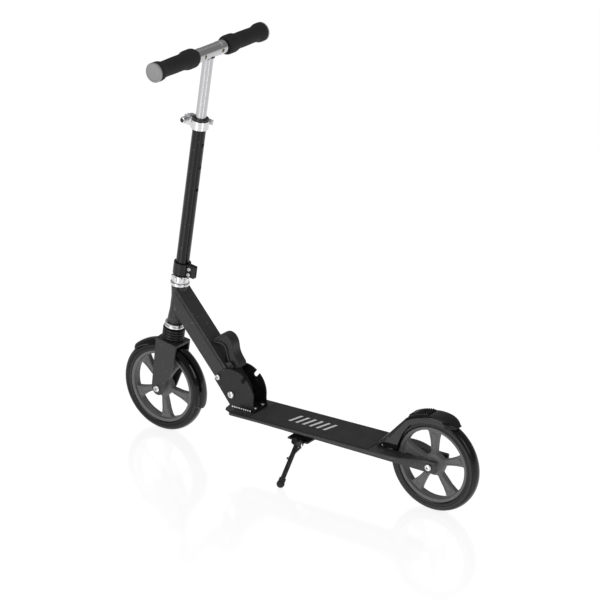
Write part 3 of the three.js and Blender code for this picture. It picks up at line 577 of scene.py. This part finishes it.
def notched_arc(radius, first, last, notch):
    """An arc that runs into a round-ended notch and out again."""
    gap = math.degrees(math.asin(NOTCH_HALF / radius))
    out = arc(radius, first, notch + gap, 16, fold_x, fold_z)
    out += notch_end(notch)
    out += arc(radius, notch - gap, last, 16, fold_x, fold_z)
    return out


sector = [(88.6, 107.0), on_sector(SECTOR_R, 188)] + notched_arc(SECTOR_R, 186, 72, 129)
sector += [on_sector(52.6, 58), on_sector(53.2, 47.7)] + notch_end(LOCK_ANGLE)
sector += [on_sector(51.6, 38.2), on_sector(50.2, 30), (149.5, 111), (149.5, 106.3)]
base = prism([
    (87, 107.0), (135.4, 106.2), (135.4, 92), (151, 92), (161, 96), (160, 101), (149, 112), (87, 112)
], -BRACKET_OUT, BRACKET_OUT)
side_plates = [
    plate([sector, arc(5.3, 0, 345, 23, fold_x, fold_z)], low, low + SECTOR_THICK, 0.5)
    for low in (BRACKET_OUT - SECTOR_THICK, -BRACKET_OUT)
]
bracket = joined(base, *side_plates)
black_coat = surface("black powder coat", (0.011, 0.011, 0.0115), 0.32, 0.1, grain=1300, mottle=0.15,
                     wear=0.2)
piece("fold_bracket_pressed", bracket, ground, black_coat, "chassis", ["fold_bracket"],
      bevel=0.4, smooth=20)
# The row of small white squares on the bracket's near flange is painted highlight: glints on the lit flange
# edge, where its embossed text catches the light.
glint_row = repeated(plate([fillet([(0, 0, 1), (3.6, 0, 1), (3.6, 3.2, 1), (0, 3.2, 1)])], 24.3, 25.0, 0.2),
               9, print_and_glint_finish, step=(5.6, 0, 0))
glint_row.transform(Matrix.Translation((95, 0, 107.6)))
piece("bracket_flange_painted_glints", glint_row, ground, print_and_glint_finish, "chassis")
through_bolt("fold_bolt", "fold_nut", fold_x, fold_z, 5, 8, BRACKET_OUT, "chassis")
lock_x, lock_z = on_sector(LOCK_R, LOCK_ANGLE)
through_bolt("lock_bolt", "lock_nut", lock_x, lock_z, 4, 6.5, BRACKET_OUT, "chassis")
for side, y in (("left", 13), ("right", -13)):
    screw = bolt_head(4.5, 2.3, 2.2)
    screw.transform(Matrix.Rotation(math.radians(90), 4, "X"))
    shank = rod((0, 0, -4.5), (0, 0, 0.3), 2.5)
    node = f"bracket_screw_{side}"
    piece(f"{node}_turned", joined(screw, shank), at(93, y, 112.3), steel_finish, "chassis", [node])

# ---- front frame
# A square-section steel down tube with a rolled groove along each upper edge is welded to the head
# tube. Two ears on its upper face carry the release lever, and its foot turns on the fold bolt.
tube_place = at(fold_x, 0, fold_z, -49)
steer = joints["steering"]
steer_x, _, steer_z = pivot_of("steering")
rake = math.degrees(math.asin(-steer["axis"][0]))
column_place = at(steer_x, 0, steer_z, -rake)
column_in_tube = tube_place.inverted() @ column_place
TUBE_MIDDLE, TUBE_HALF = 4.8, 19.3
TUBE_TOP, TUBE_LOW = TUBE_MIDDLE + TUBE_HALF, TUBE_MIDDLE - TUBE_HALF


def tube_meets(z, u):
    """How far along the down tube a line at height z crosses the plane u in front of the column."""
    inverse = column_in_tube.inverted()
    a, b = inverse @ Vector((0, 0, z)), inverse @ Vector((100, 0, z))
    return 100 * (u - a.x) / (b.x - a.x)


foot = arc(18.8, 118, 242, 14, 0, TUBE_MIDDLE)
side_view = [(tube_meets(TUBE_TOP, -6), TUBE_TOP)] + [(8, TUBE_TOP)] + foot
side_view += [(8, TUBE_LOW), (tube_meets(TUBE_LOW, -6), TUBE_LOW)]
lock_slot = arc(50.6, -4, -42, 14) + arc(41.4, -42, -4, 14)
tube = prism(side_view, -21, 21)
tube = carve(tube, prism(lock_slot, -30, 30))
tube = bevelled(tube, 2.6, 3, 60)
grooves = [prism([(14, z), (250, z), (250, z + 1.1), (14, z + 1.1)], low, low + 4)
           for z in (TUBE_TOP - 5.2, TUBE_TOP - 8.0) for low in (20.2, -24.2)]
tube = carve(tube, *grooves, rod((0, -30, 0), (0, 30, 0), 5.4))
ear = [(38, TUBE_TOP - 1), (62, TUBE_TOP - 1), (56, 39), (44, 39)]
ears = [prism(ear, low, low + 3) for low in (13.6, -16.6)]
head = revolve([
    (11.4, 156), (15.9, 156), (16.5, 157), (16.5, 164), (14.4, 188), (14.4, 216), (16.5, 234), (17, 236),
    (17, 241.4), (16.6, 242), (11.4, 242),
], 64, "Z")
head.transform(column_in_tube)
piece("front_frame_welded", joined(tube, *ears, head), tube_place, satin_coat, "front_frame", ["front_frame"],
      bevel=0.35)
lower_ring = revolve([
    (11.4, 145.7), (19.5, 145.7), (21.2, 146.6), (21.5, 148), (21.5, 150), (20, 151), (20, 152), (21, 153.2),
    (20.6, 155.2), (19.6, 155.7), (11.4, 155.7),
], 64, "Z")
piece("lower_headset_cup", lower_ring, column_place, steel_finish, "front_frame", ["lower_headset_ring"])
cup = revolve([
    (11.4, 242.3), (17.0, 242.3), (19.6, 244.5), (20.4, 246.4), (20.4, 250), (19.6, 251.4), (17.6, 252.4),
    (17.0, 254.5), (17.0, 266.4), (16.4, 267), (11.4, 267),
], 64, "Z")
lump_edge = fillet([(14, -3.4, 1.5), (20.2, -2.6, 1.5), (20.2, 2.6, 1.5), (14, 3.4, 1.5)])
lump = plate([lump_edge], 254.6, 265.4, 0.7, flat=True)
lumps = repeated(lump, 8, steel_finish, turn=(0, 0, 45))
piece("headset_locknut", joined(cup, lumps), column_place, steel_finish, "front_frame", ["upper_headset_cup"])
pin = joined(rod((50, -17.2, 34), (50, 17.2, 34), 2.4), rod((50, 16.8, 34), (50, 17.6, 34), 2.4))
piece("lever_pin_riveted", pin, tube_place, black_coat, "front_frame", ["lever_pin"])

# ---- release lever
# A moulded nylon paddle with a raised rim round both faces. The heel of a shoe or a finger pulls
# it back on its pin to free the lock bolt.
lever_finish = surface("black nylon", (0.019, 0.019, 0.0195), 0.4, grain=1600, depth=0.12, mottle=0.12)


def lever_outline(inset):
    out = [(40 + inset, 37 + inset * 0.5), (36 + inset * 1.3, 49 - inset), (44, 52.5 - inset)]
    out += bend(out[-1], (58, 53 - inset), (66, 54 - inset), (76, 61 - inset))
    out += bend(out[-1], (84, 67 - inset), (92, 69.5 - inset), (100, 68 - inset))
    out += bend(out[-1], (112 - inset, 65 - inset), (116 - inset, 56), (116 - inset, 44))
    out += [(116 - inset, 24.9 + inset * 1.6), (109, 24.9 + inset * 2.2)]
    out += bend(out[-1], (98, 47 + inset), (88, 46 + inset), (78, 40 + inset))
    out += [(58, 29 + inset)] + arc(8 - inset, -50, -150, 8, 50, 34)
    return out


pin_hole = arc(3, 0, 345, 23, 50, 34)
paddle = joined(
    plate([lever_outline(0), pin_hole], -10.5, 10.5, 0.8),
    plate([lever_outline(0), lever_outline(4.5)], 9.5, 13.2, 1.1),
    plate([lever_outline(0), lever_outline(4.5)], -13.2, -9.5, 1.1),
)
piece("release_lever_moulded", paddle, tube_place, lever_finish, "lever", ["release_lever"])

# ---- fork
# Two pressed steel blades and a folded crown, welded and coated. An inner tube slides up into the
# steerer on a coil spring, and a glossy moulded fender is screwed under the crown.
blade = [(26, 109.4), (22.5, 12)] + bend((22.5, 12), (22, -8), (14, -15), (6, -15))
blade += bend((6, -15), (-3, -15), (-9, -9), (-11, 6)) + [(-15.5, 24)]
blade += bend((-15.5, 24), (-22, 48), (-27, 60), (-27.5, 76)) + [(-27.5, 109.4)]
FORK_OUT, BLADE_THICK, FORK_TRAIL, CROWN_TOP = 25.7, 5.5, 7, 115
axle_hole = arc(AXLE_R + 0.3, 0, 345, 23, FORK_TRAIL, 0)
crown_edge = [(-27.5, -FORK_OUT, 2), (27, -FORK_OUT, 2), (30, 0, 8), (27, FORK_OUT, 2), (-27.5, FORK_OUT, 2)]
crown = plate([fillet(crown_edge)], 108.4, CROWN_TOP, 1.2, flat=True)
blades = [
    plate([blade, axle_hole], low, low + BLADE_THICK, 1.3) for low in (FORK_OUT - BLADE_THICK, -FORK_OUT)
]
crown_screw = bolt_head(3.4, 2.2, 1.6)
crown_screw.transform(Matrix.Translation((18, 0, CROWN_TOP)) @ Matrix.Rotation(math.radians(90), 4, "X"))
inner_tube = rod((0, 0, CROWN_TOP - 1), (0, 0, 218), 9, 40)
piece("fork_welded", joined(crown, *blades, inner_tube), column_place, satin_coat, "fork", ["fork"])
through_bolt("axle_bolt_front", "axle_nut_front", FORK_TRAIL, 0, AXLE_R, AXLE_HEAD, FORK_OUT, "fork",
             lambda x, y, z: column_place @ Matrix.Translation((x, y, z)))
piece("crown_screw", crown_screw, column_place, steel_finish, "fork")


def coil_tree():
    """A round wire wound round Z."""
    tree = bpy.data.node_groups.new("coil", "GeometryNodeTree")
    socket(tree, "Geometry", "Geometry")
    sizes = {name: socket(tree, name, "Float", 1.0) for name in ("Radius", "Wire", "Height", "Turns")}
    sizes["Finish"] = socket(tree, "Finish", "Material")
    tree.interface.new_socket(name="Geometry", in_out="OUTPUT", socket_type="NodeSocketGeometry")
    made, link = tree.nodes.new, tree.links.new
    given, result = made("NodeGroupInput"), made("NodeGroupOutput")
    path, section = made("GeometryNodeCurveSpiral"), made("GeometryNodeCurvePrimitiveCircle")
    tube = made("GeometryNodeCurveToMesh")
    real, finish = made("GeometryNodeRealizeInstances"), made("GeometryNodeSetMaterial")
    path.inputs["Resolution"].default_value = 36
    section.inputs["Resolution"].default_value = 12
    tube.inputs["Fill Caps"].default_value = True
    for out, into in (("Radius", "Start Radius"), ("Radius", "End Radius"), ("Height", "Height"),
                      ("Turns", "Rotations")):
        link(given.outputs[out], path.inputs[into])
    link(given.outputs["Wire"], section.inputs["Radius"])
    link(path.outputs["Curve"], tube.inputs["Curve"])
    link(section.outputs["Curve"], tube.inputs["Profile Curve"])
    link(tube.outputs["Mesh"], real.inputs["Geometry"])
    link(real.outputs["Geometry"], finish.inputs["Geometry"])
    link(given.outputs["Finish"], finish.inputs["Material"])
    link(finish.outputs["Geometry"], result.inputs[0])
    return tree, sizes


COIL, COIL_SIZES = coil_tree()


def coil(radius, wire, start, end, turns, finish):
    """A coil spring between two points."""
    a, b = Vector(start), Vector(end)
    thing = bpy.data.objects.new("raw", bpy.data.meshes.new("raw"))
    nodes = thing.modifiers.new("coil", "NODES")
    nodes.node_group = COIL
    for name, value in (("Radius", radius), ("Wire", wire), ("Height", (b - a).length), ("Turns", turns)):
        nodes[COIL_SIZES[name]] = float(value)
    nodes[COIL_SIZES["Finish"]] = finish
    shape = evaluated(thing)
    turn = Vector((0, 0, 1)).rotation_difference(b - a).to_matrix().to_4x4()
    shape.transform(Matrix.Translation(a) @ turn)
    bmesh.ops.recalc_face_normals(shape, faces=shape.faces)
    return shape


COIL_END = 3.5
low, high = CROWN_TOP + COIL_END, 145.7 - COIL_END
spring = piece("fork_spring", coil(21, 2.9, (0, 0, low), (0, 0, high), 4, black_coat), column_place,
               black_coat, None, ["suspension_spring"], smooth=60)
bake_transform(spring)

fender_finish = surface("gloss moulded plastic", (0.003, 0.003, 0.0032), 0.1, grain=300, depth=0.02,
                        mottle=0.2)
FENDER_R, FENDER_WALL = 107, 2.2


def shell(outer, inner):
    """A closed sheet from two grids of points, the outer face and the inner face."""
    shape = bmesh.new()
    faces = [[[shape.verts.new(p) for p in row] for row in grid] for grid in (outer, inner)]
    rows, columns = len(outer), len(outer[0])
    for i in range(rows - 1):
        for j in range(columns - 1):
            for grid in faces:
                shape.faces.new((grid[i][j], grid[i + 1][j], grid[i + 1][j + 1], grid[i][j + 1]))
    edge = [(i, 0) for i in range(rows)] + [(rows - 1, j) for j in range(1, columns)]
    edge += [(i, columns - 1) for i in range(rows - 2, -1, -1)] + [(0, j) for j in range(columns - 2, 0, -1)]
    for (a, b), (c, d) in zip(edge, edge[1:] + edge[:1]):
        shape.faces.new((faces[0][a][b], faces[0][c][d], faces[1][c][d], faces[1][a][b]))
    bmesh.ops.remove_doubles(shape, verts=shape.verts, dist=1e-4)
    bmesh.ops.recalc_face_normals(shape, faces=shape.faces)
    return shape


def front_fender_grid(wall):
    first, last, rows = 47 - rake, 195 - rake, 72
    grid = []
    for i in range(rows + 1):
        a = math.radians(first + (last - first) * i / rows)
        to_end = min(i, rows - i) * (last - first) / rows
        width = 19.8 if to_end > 5 else 19.8 - 6 * (1 - math.sqrt(1 - (1 - to_end / 5) ** 2))
        row = []
        for j in range(17):
            s = -1 + j / 8
            r = FENDER_R - 9.2 * abs(s) ** 2.6 - wall
            row.append((FORK_TRAIL + r * math.cos(a), (width - wall * 0.8) * s, r * math.sin(a)))
        grid.append(row)
    return grid


front_fender = shell(front_fender_grid(0), front_fender_grid(FENDER_WALL))
piece("front_fender_moulded", front_fender, column_place, fender_finish, "fork", ["front_fender"],
      smooth=50)

# ---- rear fender brake
# A glossy moulded shell with side skirts and a ribbed heel pad. It turns on a pin at its front
# tip, and a small coil lifts it off the tyre. Sizes are from the rear axle.
brake_place = at(rear_x, 0, axle_z)
pin_x, pin_z = pivot_of("brake_press")[0] - rear_x, pivot_of("brake_press")[2] - axle_z
RAMP_FOOT, RAMP_TOP = Vector((127.5, 15.5)), Vector(arc(FENDER_R, 56, 56, 1)[0])
# Skirt depth, from the front tip at 0, over the ramp's top at 1, to the rear end at 2.
SKIRT = (
    (0, 2.4), (0.05, 5.4), (0.2, 21.5), (0.32, 33.5), (0.37, 35), (0.45, 29), (0.55, 25), (0.7, 20),
    (0.85, 17.5), (1, 16), (1.8, 15), (1.93, 8.5), (2, 5),
)


def skirt_depth(t):
    for (t0, d0), (t1, d1) in zip(SKIRT, SKIRT[1:]):
        if t <= t1:
            return d0 + (d1 - d0) * (t - t0) / (t1 - t0)
    return SKIRT[-1][1]


def rear_fender_grid(wall):
    across = [
        (22, 99), (22, 60), (22, 36), (22, 20), (22, 9), (22, 5), (21.3, 2.4), (19.4, 0.8), (16.5, 0.1),
        (8, 0), (0, 0),
    ]
    across += [(-y, d) for y, d in reversed(across[:-1])]
    grid = []
    for i in range(61):
        t = 2 * i / 60
        if t <= 1:
            here = RAMP_FOOT.lerp(RAMP_TOP, t)
            out = Vector((RAMP_TOP.y - RAMP_FOOT.y, RAMP_FOOT.x - RAMP_TOP.x)).normalized()
        else:
            a = math.radians(56 + 65 * (t - 1))
            out = Vector((math.cos(a), math.sin(a)))
            here = out * (FENDER_R + (1.6 * math.sin(math.pi * (t - 1.45) / 0.55) if t > 1.45 else 0))
        deep = skirt_depth(t)
        end = max(0.42, math.sqrt(max(0, 1 - (max(0, t - 1.72) / 0.28) ** 2)))
        row = []
        for y, depth in across:
            y = (y - math.copysign(wall, y) if y else 0) * end
            share = min(depth, deep)
            if depth >= 5:
                share = max(deep * min(1, depth / 60) if depth > 5 else 0, min(5, deep))
            inward = min(deep, share + (wall if depth < 9 else 0))
            row.append((here.x - out.x * inward, y, here.y - out.y * inward))
        grid.append(row)
    return grid


fender = shell(rear_fender_grid(0), rear_fender_grid(FENDER_WALL))
heel_rib = prism([(108.4, -1.1), (111, -0.5), (111, 0.5), (108.4, 1.1)], -14, 14)
heel_rib.transform(Matrix.Rotation(math.radians(-61), 4, "Y"))
heel_ribs = repeated(heel_rib, 9, fender_finish, turn=(0, -2.7, 0))
pad_outline = arc(108.9, 59, 85, 14) + arc(105.6, 85, 59, 14)
heel_pad = plate([pad_outline], -15.5, 15.5, 0.8)
rear_fender = joined(fender, heel_pad, heel_ribs)
piece("rear_fender_moulded", rear_fender, brake_place, fender_finish, "brake", ["rear_fender"],
      smooth=50)


def on_pin(y):
    return pin_x, y, pin_z


HINGE_HALF = 10.8
block = [(pin_x - 3.2, 14.7), (pin_x + 3.2, 14.6), (pin_x + 2.9, pin_z), (pin_x - 2.9, pin_z)]
hinge = joined(prism(block, -HINGE_HALF, HINGE_HALF), rod(on_pin(-HINGE_HALF), on_pin(HINGE_HALF), 3.1))
return_coil = coil(2.7, 0.6, on_pin(11.8), on_pin(18.2), 4, steel_finish)
piece("brake_hinge_block", hinge, brake_place, steel_finish, "chassis", ["brake_hinge"], bevel=0.3)
piece("brake_pin_turned", rod(on_pin(-22.8), on_pin(22.8), 1.9), brake_place, steel_finish, "chassis",
      ["brake_pin"], bevel=0.4)
piece("brake_return_coil", return_coil, brake_place, steel_finish, "chassis", ["brake_spring"],
      smooth=60)

# ---- kickstand
# A forged leg on a slanted bolt under the left rail, with a rubber foot. An over-centre spring
# from its arm to the bracket holds it down or stowed.
stand = joints["kickstand_swing"]
stand_pivot = Vector(pivot_of("kickstand_swing"))
stand_axis = Vector(stand["axis"]).normalized()
stand_down = Vector((0, stand_axis.z, -stand_axis.y))


def on_stand(down, out):
    return stand_pivot + stand_down * down + stand_axis * out


plate_top = RAIL_LOW - 0.3


def sole_block(x0, x1, y0, y1):
    return prism([(x0, plate_top - 4), (x1, plate_top - 4), (x1, plate_top), (x0, plate_top)], y0, y1)


bracket_sole, spring_tab = sole_block(-62, -12, 12, 45), sole_block(-55, -48, 38, 50)
boss = rod(on_stand(0, 5.8), on_stand(0, 13.5), 7.5, 32)
anchor = Vector((-51.5, 47, plate_top - 8))
peg = rod(anchor - Vector((0, 0, 1)), anchor + Vector((0, 0, 6)), 1.5)
sole_screws = [rod((x, 28, plate_top - 5.6), (x, 28, plate_top - 3), 3.4) for x in (-56, -18)]
stand_bracket = joined(bracket_sole, spring_tab, boss, peg, *sole_screws)
piece("kickstand_bracket_pressed", stand_bracket, ground, black_coat, "chassis", ["kickstand_bracket"],
      bevel=0.7)
stand_bolt = joined(rod(on_stand(0, -9.8), on_stand(0, -5.8), 5.5, 6),
                    rod(on_stand(0, -6.5), on_stand(0, 12.5), 3))
piece("kickstand_bolt_turned", stand_bolt, ground, steel_finish, "chassis", ["kickstand_bolt"],
      bevel=0.4)
FOOT_R = 8.3
reach = (stand_pivot.z - FOOT_R) / -stand_down.z


def ball(centre, radius):
    shape = bmesh.new()
    bmesh.ops.create_uvsphere(shape, u_segments=28, v_segments=18, radius=radius)
    shape.transform(Matrix.Translation(centre))
    return shape


eye = carve(rod(on_stand(0, -5.5), on_stand(0, 5.5), 7.5, 32), rod(on_stand(0, -7), on_stand(0, 7), 3.3))
shank = joined(rod(on_stand(6, 0), on_stand(reach - 2, 0), 5), rod(on_stand(38, 2), on_stand(38, 12), 2),
               ball(on_stand(38, 12), 2.5))
piece("kickstand_leg_forged", joined(eye, shank), ground, black_coat, "kickstand", ["kickstand_leg"],
      bevel=0.4)
foot_finish = surface("foot rubber", (0.014, 0.014, 0.014), 0.6, depth=0.3, mottle=0.2)
foot_ball = ball(on_stand(reach, 0), FOOT_R)
for corner in foot_ball.verts:
    corner.co.z = max(corner.co.z, 0.2)
foot_sleeve = rod(on_stand(reach - 13, 0), on_stand(reach - 4, 0), 7.2, 28)
piece("kickstand_foot_moulded", joined(foot_ball, foot_sleeve), ground, foot_finish, "kickstand",
      ["kickstand_foot"], bevel=0.6, smooth=50)
hook = on_stand(38, 9.5)
pull = (hook - anchor).normalized()
stand_coil = coil(2.4, 0.65, anchor + pull * 4, hook - pull * 3, 16, black_coat)
stand_coil = piece("kickstand_return_coil", stand_coil, ground, black_coat, None, ["kickstand_spring"],
                   smooth=60)
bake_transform(stand_coil)

# ---- steering column
# A dark steel tube welded to the thin steerer, drilled with three height holes. A slit collar with
# two screws is clamped round its foot.
# Heights from here on are along the column, from the front axle.
w_lower, w_upper, w_button, w_pitch = 271, 604, 516, 50
COLUMN_R, STEM_R, HOLE_R = 14, 11, 3.9
column_satin = surface("satin dark coat", (0.004, 0.004, 0.0042), 0.22, 0, grain=1500, depth=0.05,
                       mottle=0.05, wear=0.2)
tube = revolve([(11.4, 293), (11.4, w_upper), (COLUMN_R, w_upper), (COLUMN_R, w_lower), (11.2, w_lower),
                (11.2, 293)], 64, "Z")
holes = [w_button + i * w_pitch for i in (-1, 0, 1)]
tube = carve(tube, *[rod((-20, 0, w), (-5, 0, w), HOLE_R, 28) for w in holes])
steerer = revolve([(9.4, 129), (9.4, 292.8), (11, 292.8), (11, 129)], 48, "Z")
piece("steering_tube_drawn", joined(tube, steerer), column_place, column_satin, "column",
      ["lower_steering_tube", "steerer"])


def ring_with_ears(inner, outer, w0, w1, ear, half, slit, side, holes, hole_radius, bevel=0.9):
    """A slit collar round the column with two ears on one side, seen along the column."""
    start = math.degrees(math.asin(half / outer))
    ears = fillet([(outer, -half, 0.1), (ear, -half, 3), (ear, half, 3), (outer, half, 0.1)])
    out = arc(outer, start, 360 - start, 60) + ears
    shape = plate([out, arc(inner, 0, 354, 60)], w0, w1, bevel, flat=True)
    cutters = [rod((u, -60, w), (u, 60, w), hole_radius, 24) for u, w in holes]
    gap = prism([(inner - 3, w0 - 2), (ear + 3, w0 - 2), (ear + 3, w1 + 2), (inner - 3, w1 + 2)], -slit, slit)
    shape = carve(shape, gap, *cutters)
    if side < 0:
        shape.transform(Matrix.Rotation(math.pi, 4, "Z"))
    return shape


CLAMP_SCREWS = {"lower": 278, "upper": 290}
screw_holes = [(24, w) for w in CLAMP_SCREWS.values()]
lower_collar = ring_with_ears(14.1, 18.2, w_lower, 297, 36, 6, 1.5, -1, screw_holes, 2.7)
piece("lower_clamp_forged", lower_collar, column_place, black_coat, "column", ["lower_clamp"])
for which, w in CLAMP_SCREWS.items():
    head = bolt_head(4.2, 4, 2.1)
    head.transform(Matrix.Translation((-24, 6.4, w)))
    shank = rod((-24, -9.6, w), (-24, 6.8, w), 2.4, 20)
    piece(f"lower_clamp_screw_{which}", joined(head, shank), column_place, steel_finish, "column",
          [f"lower_clamp_bolt_{which}"], bevel=0.2)

# ---- quick clamp at the top
# A polished split collar, a dark plastic shim inside it, and a cam lever on a cross skewer that
# squeezes the collar on the sliding stem.
polished = surface("polished aluminium", (0.66, 0.66, 0.67), 0.2, 1.0, depth=0.04, mottle=0.04)
cam_u, cam_v, w_cam = 31, -13.3, 611
top_collar = ring_with_ears(14.2, 18.5, 600, 619, 37, 7, 2.5, 1, [(cam_u, w_cam)], 2.9)
piece("upper_clamp_polished", top_collar, column_place, polished, "column", ["upper_clamp"])
shim_finish = surface("acetal shim", (0.03, 0.03, 0.03), 0.4, grain=1600)
shim = revolve([(11.5, 604.4), (11.5, 622.9), (17, 622.9), (17, 620.2), (13.9, 619.4), (13.9, 604.4)],
               56, "Z")
piece("stem_shim_moulded", shim, column_place, shim_finish, "column", ["clamp_shim"])
arm = arc(6, 90, -135, 18, cam_u, cam_v) + bend((26.8, -17.5), (16, -24), (0, -25), (-16, -24))
arm += [(-17.3, -22.4)] + bend((-17.3, -21), (-6, -21.5), (8, -22), (16, -16))
cam_lever = plate([arm], w_cam - 5.8, w_cam + 5.8, 1.4, flat=True)
cam_lever = carve(cam_lever, rod((cam_u, cam_v, w_cam - 2.9), (cam_u, cam_v, w_cam + 2.9), 6.6, 40))
piece("clamp_lever_cast", cam_lever, column_place, polished, "clamp_lever", ["clamp_lever"])
skewer = rod((cam_u, -15.2, w_cam), (cam_u, 10, w_cam), 2.4)
thumb_nut = revolve([
    (2.6, 7.4), (6.2, 7.4), (6.5, 8), (6.5, 17.6), (5.6, 19.4), (4.4, 19.8), (4.4, 18.6), (2.6, 18.6),
], 40)
thumb_nut.transform(Matrix.Translation((cam_u, 0, w_cam)))
piece("clamp_skewer_turned", joined(skewer, thumb_nut), column_place, steel_finish, "column",
      ["clamp_skewer"], bevel=0.2)
nut_insert = rod((cam_u, 10.5, w_cam), (cam_u, 19.2, w_cam), 4.3, 32)
piece("clamp_nut_insert", nut_insert, column_place, shim_finish, "column", bevel=0.3)

# ---- stem and crossbar sleeve
# Brushed aluminium. The stem slides in the column, and a spring button drops into one of the
# column's holes to fix the height. The sleeve on top takes the two handles.
brushed, sleeve_brushed = [
    surface(name, (0.5, 0.5, 0.51), 0.24, 1.0, grain=700, depth=0.08, mottle=0.05, stretch=stretch)
    for name, stretch in (("brushed aluminium", (1, 1, 0.04)), ("brushed aluminium across", (1, 0.04, 1)))
]
bar_w, tee_half, button_y = 766.8, 45, 29
stem = revolve([(9.5, 472), (9.5, 752.8), (STEM_R, 752.8), (STEM_R, 472)], 64, "Z")
stem = carve(stem, rod((-20, 0, w_button), (-5, 0, w_button), 3.6, 28))
piece("stem_drawn", stem, column_place, brushed, "stem", ["stem"])
sleeve = revolve([
    (11.4, -tee_half), (11.4, tee_half), (13.6, tee_half), (14.4, 44.2), (14.4, 29), (14, 28.8),
    (14, -28.8), (14.4, -29), (14.4, -44.2), (13.6, -tee_half),
], 72)
sleeve.transform(Matrix.Translation((0, 0, bar_w)))
button_holes = (-button_y, button_y)
sleeve = carve(sleeve, *[rod((-20, y, bar_w), (-5, y, bar_w), HOLE_R, 28) for y in button_holes])
piece("crossbar_sleeve", sleeve, column_place, sleeve_brushed, "stem")
weld = revolve([(10.4, 752.2), (13.4, 755.4), (13.4, 757), (10.4, 757)], 56, "Z")
piece("crossbar_weld", weld, column_place, brushed, "stem", smooth=60)
brass_finish = surface("brass", (0.66, 0.5, 0.24), 0.28, 1.0, grain=1000, depth=0.05)


def spring_button(y, w, tip):
    button = revolve([(0, 0), (3.1, 0), (3.1, 3.4), (2.4, 4.1), (0, 4.4)], 28, "Z")
    turn = Matrix.Rotation(math.radians(-90), 4, "Y")
    button.transform(Matrix.Translation((-(tip - 4.5), y, w)) @ turn)
    return button


piece("height_button_turned", spring_button(0, w_button, 10.9), column_place, brass_finish, "height_button",
      ["height_button"])

# ---- handles
# Each handle is a short tube with a waisted foam grip and a pressed-in end cap. It pulls out of
# the sleeve once its spring button is pressed.
foam_finish = surface("closed cell foam", (0.017, 0.017, 0.018), 0.82, grain=1100, depth=0.55, mottle=0.3)
cap_finish = surface("satin end cap", (0.26, 0.26, 0.265), 0.4, 0.3, depth=0.06)
GRIP_START, GRIP_END = 52.2, 175.7
GRIP = [
    (GRIP_START, 14.6), (52.4, 17.4), (53.6, 18.8), (56.4, 19.7), (60, 20), (74, 20), (78, 19.6),
    (81, 18.8), (84, 17.7), (88, 16.9), (94, 16.6), (110, 16.7), (125, 16.6), (140, 16.3), (150, 16.3),
    (155, 16.8), (158, 17.8), (161, 19.1), (164, 19.8), (168, 20.1), (173, 20.1), (175, 19.6),
    (GRIP_END, 18.6),
]
for side, sign in (("left", 1), ("right", -1)):
    mirror = Matrix.Translation((0, 0, bar_w)) @ Matrix.Diagonal((1, sign, 1, 1))
    body = f"{side}_handle"
    shapes = {
        "tube": revolve([(8.5, 8), (8.5, GRIP_END), (11, GRIP_END), (11, 8)], 56),
        "grip": revolve([(11.3, GRIP_START)] + [(r, y) for y, r in GRIP] + [(11.3, GRIP_END)], 72),
        "cap": revolve([(0, 168), (8.2, 168), (8.2, 176), (19.4, 176), (20, 176.6), (20, 178.6), (18.8, 180),
                        (16, 180), (15.4, 179.5), (0, 179.5)], 72),
        "button": spring_button(button_y, 0, 10.5),
    }
    button_hole = rod((-20, button_y, 0), (-5, button_y, 0), 3.5, 28)
    shapes["tube"] = carve(shapes["tube"], button_hole)
    for shape in shapes.values():
        shape.transform(mirror)
        bmesh.ops.recalc_face_normals(shape, faces=shape.faces)
    piece(f"handle_tube_{side}_drawn", shapes["tube"], column_place, sleeve_brushed, body,
          [f"handle_tube_{side}"])
    piece(f"grip_{side}_foam", shapes["grip"], column_place, foam_finish, body, [f"grip_{side}"],
          smooth=50)
    piece(f"end_cap_{side}_pressed", shapes["cap"], column_place, cap_finish, body, [f"end_cap_{side}"])
    piece(f"handle_button_{side}_turned", shapes["button"], column_place, brass_finish,
          f"{body}_button", [f"handle_button_{side}"])
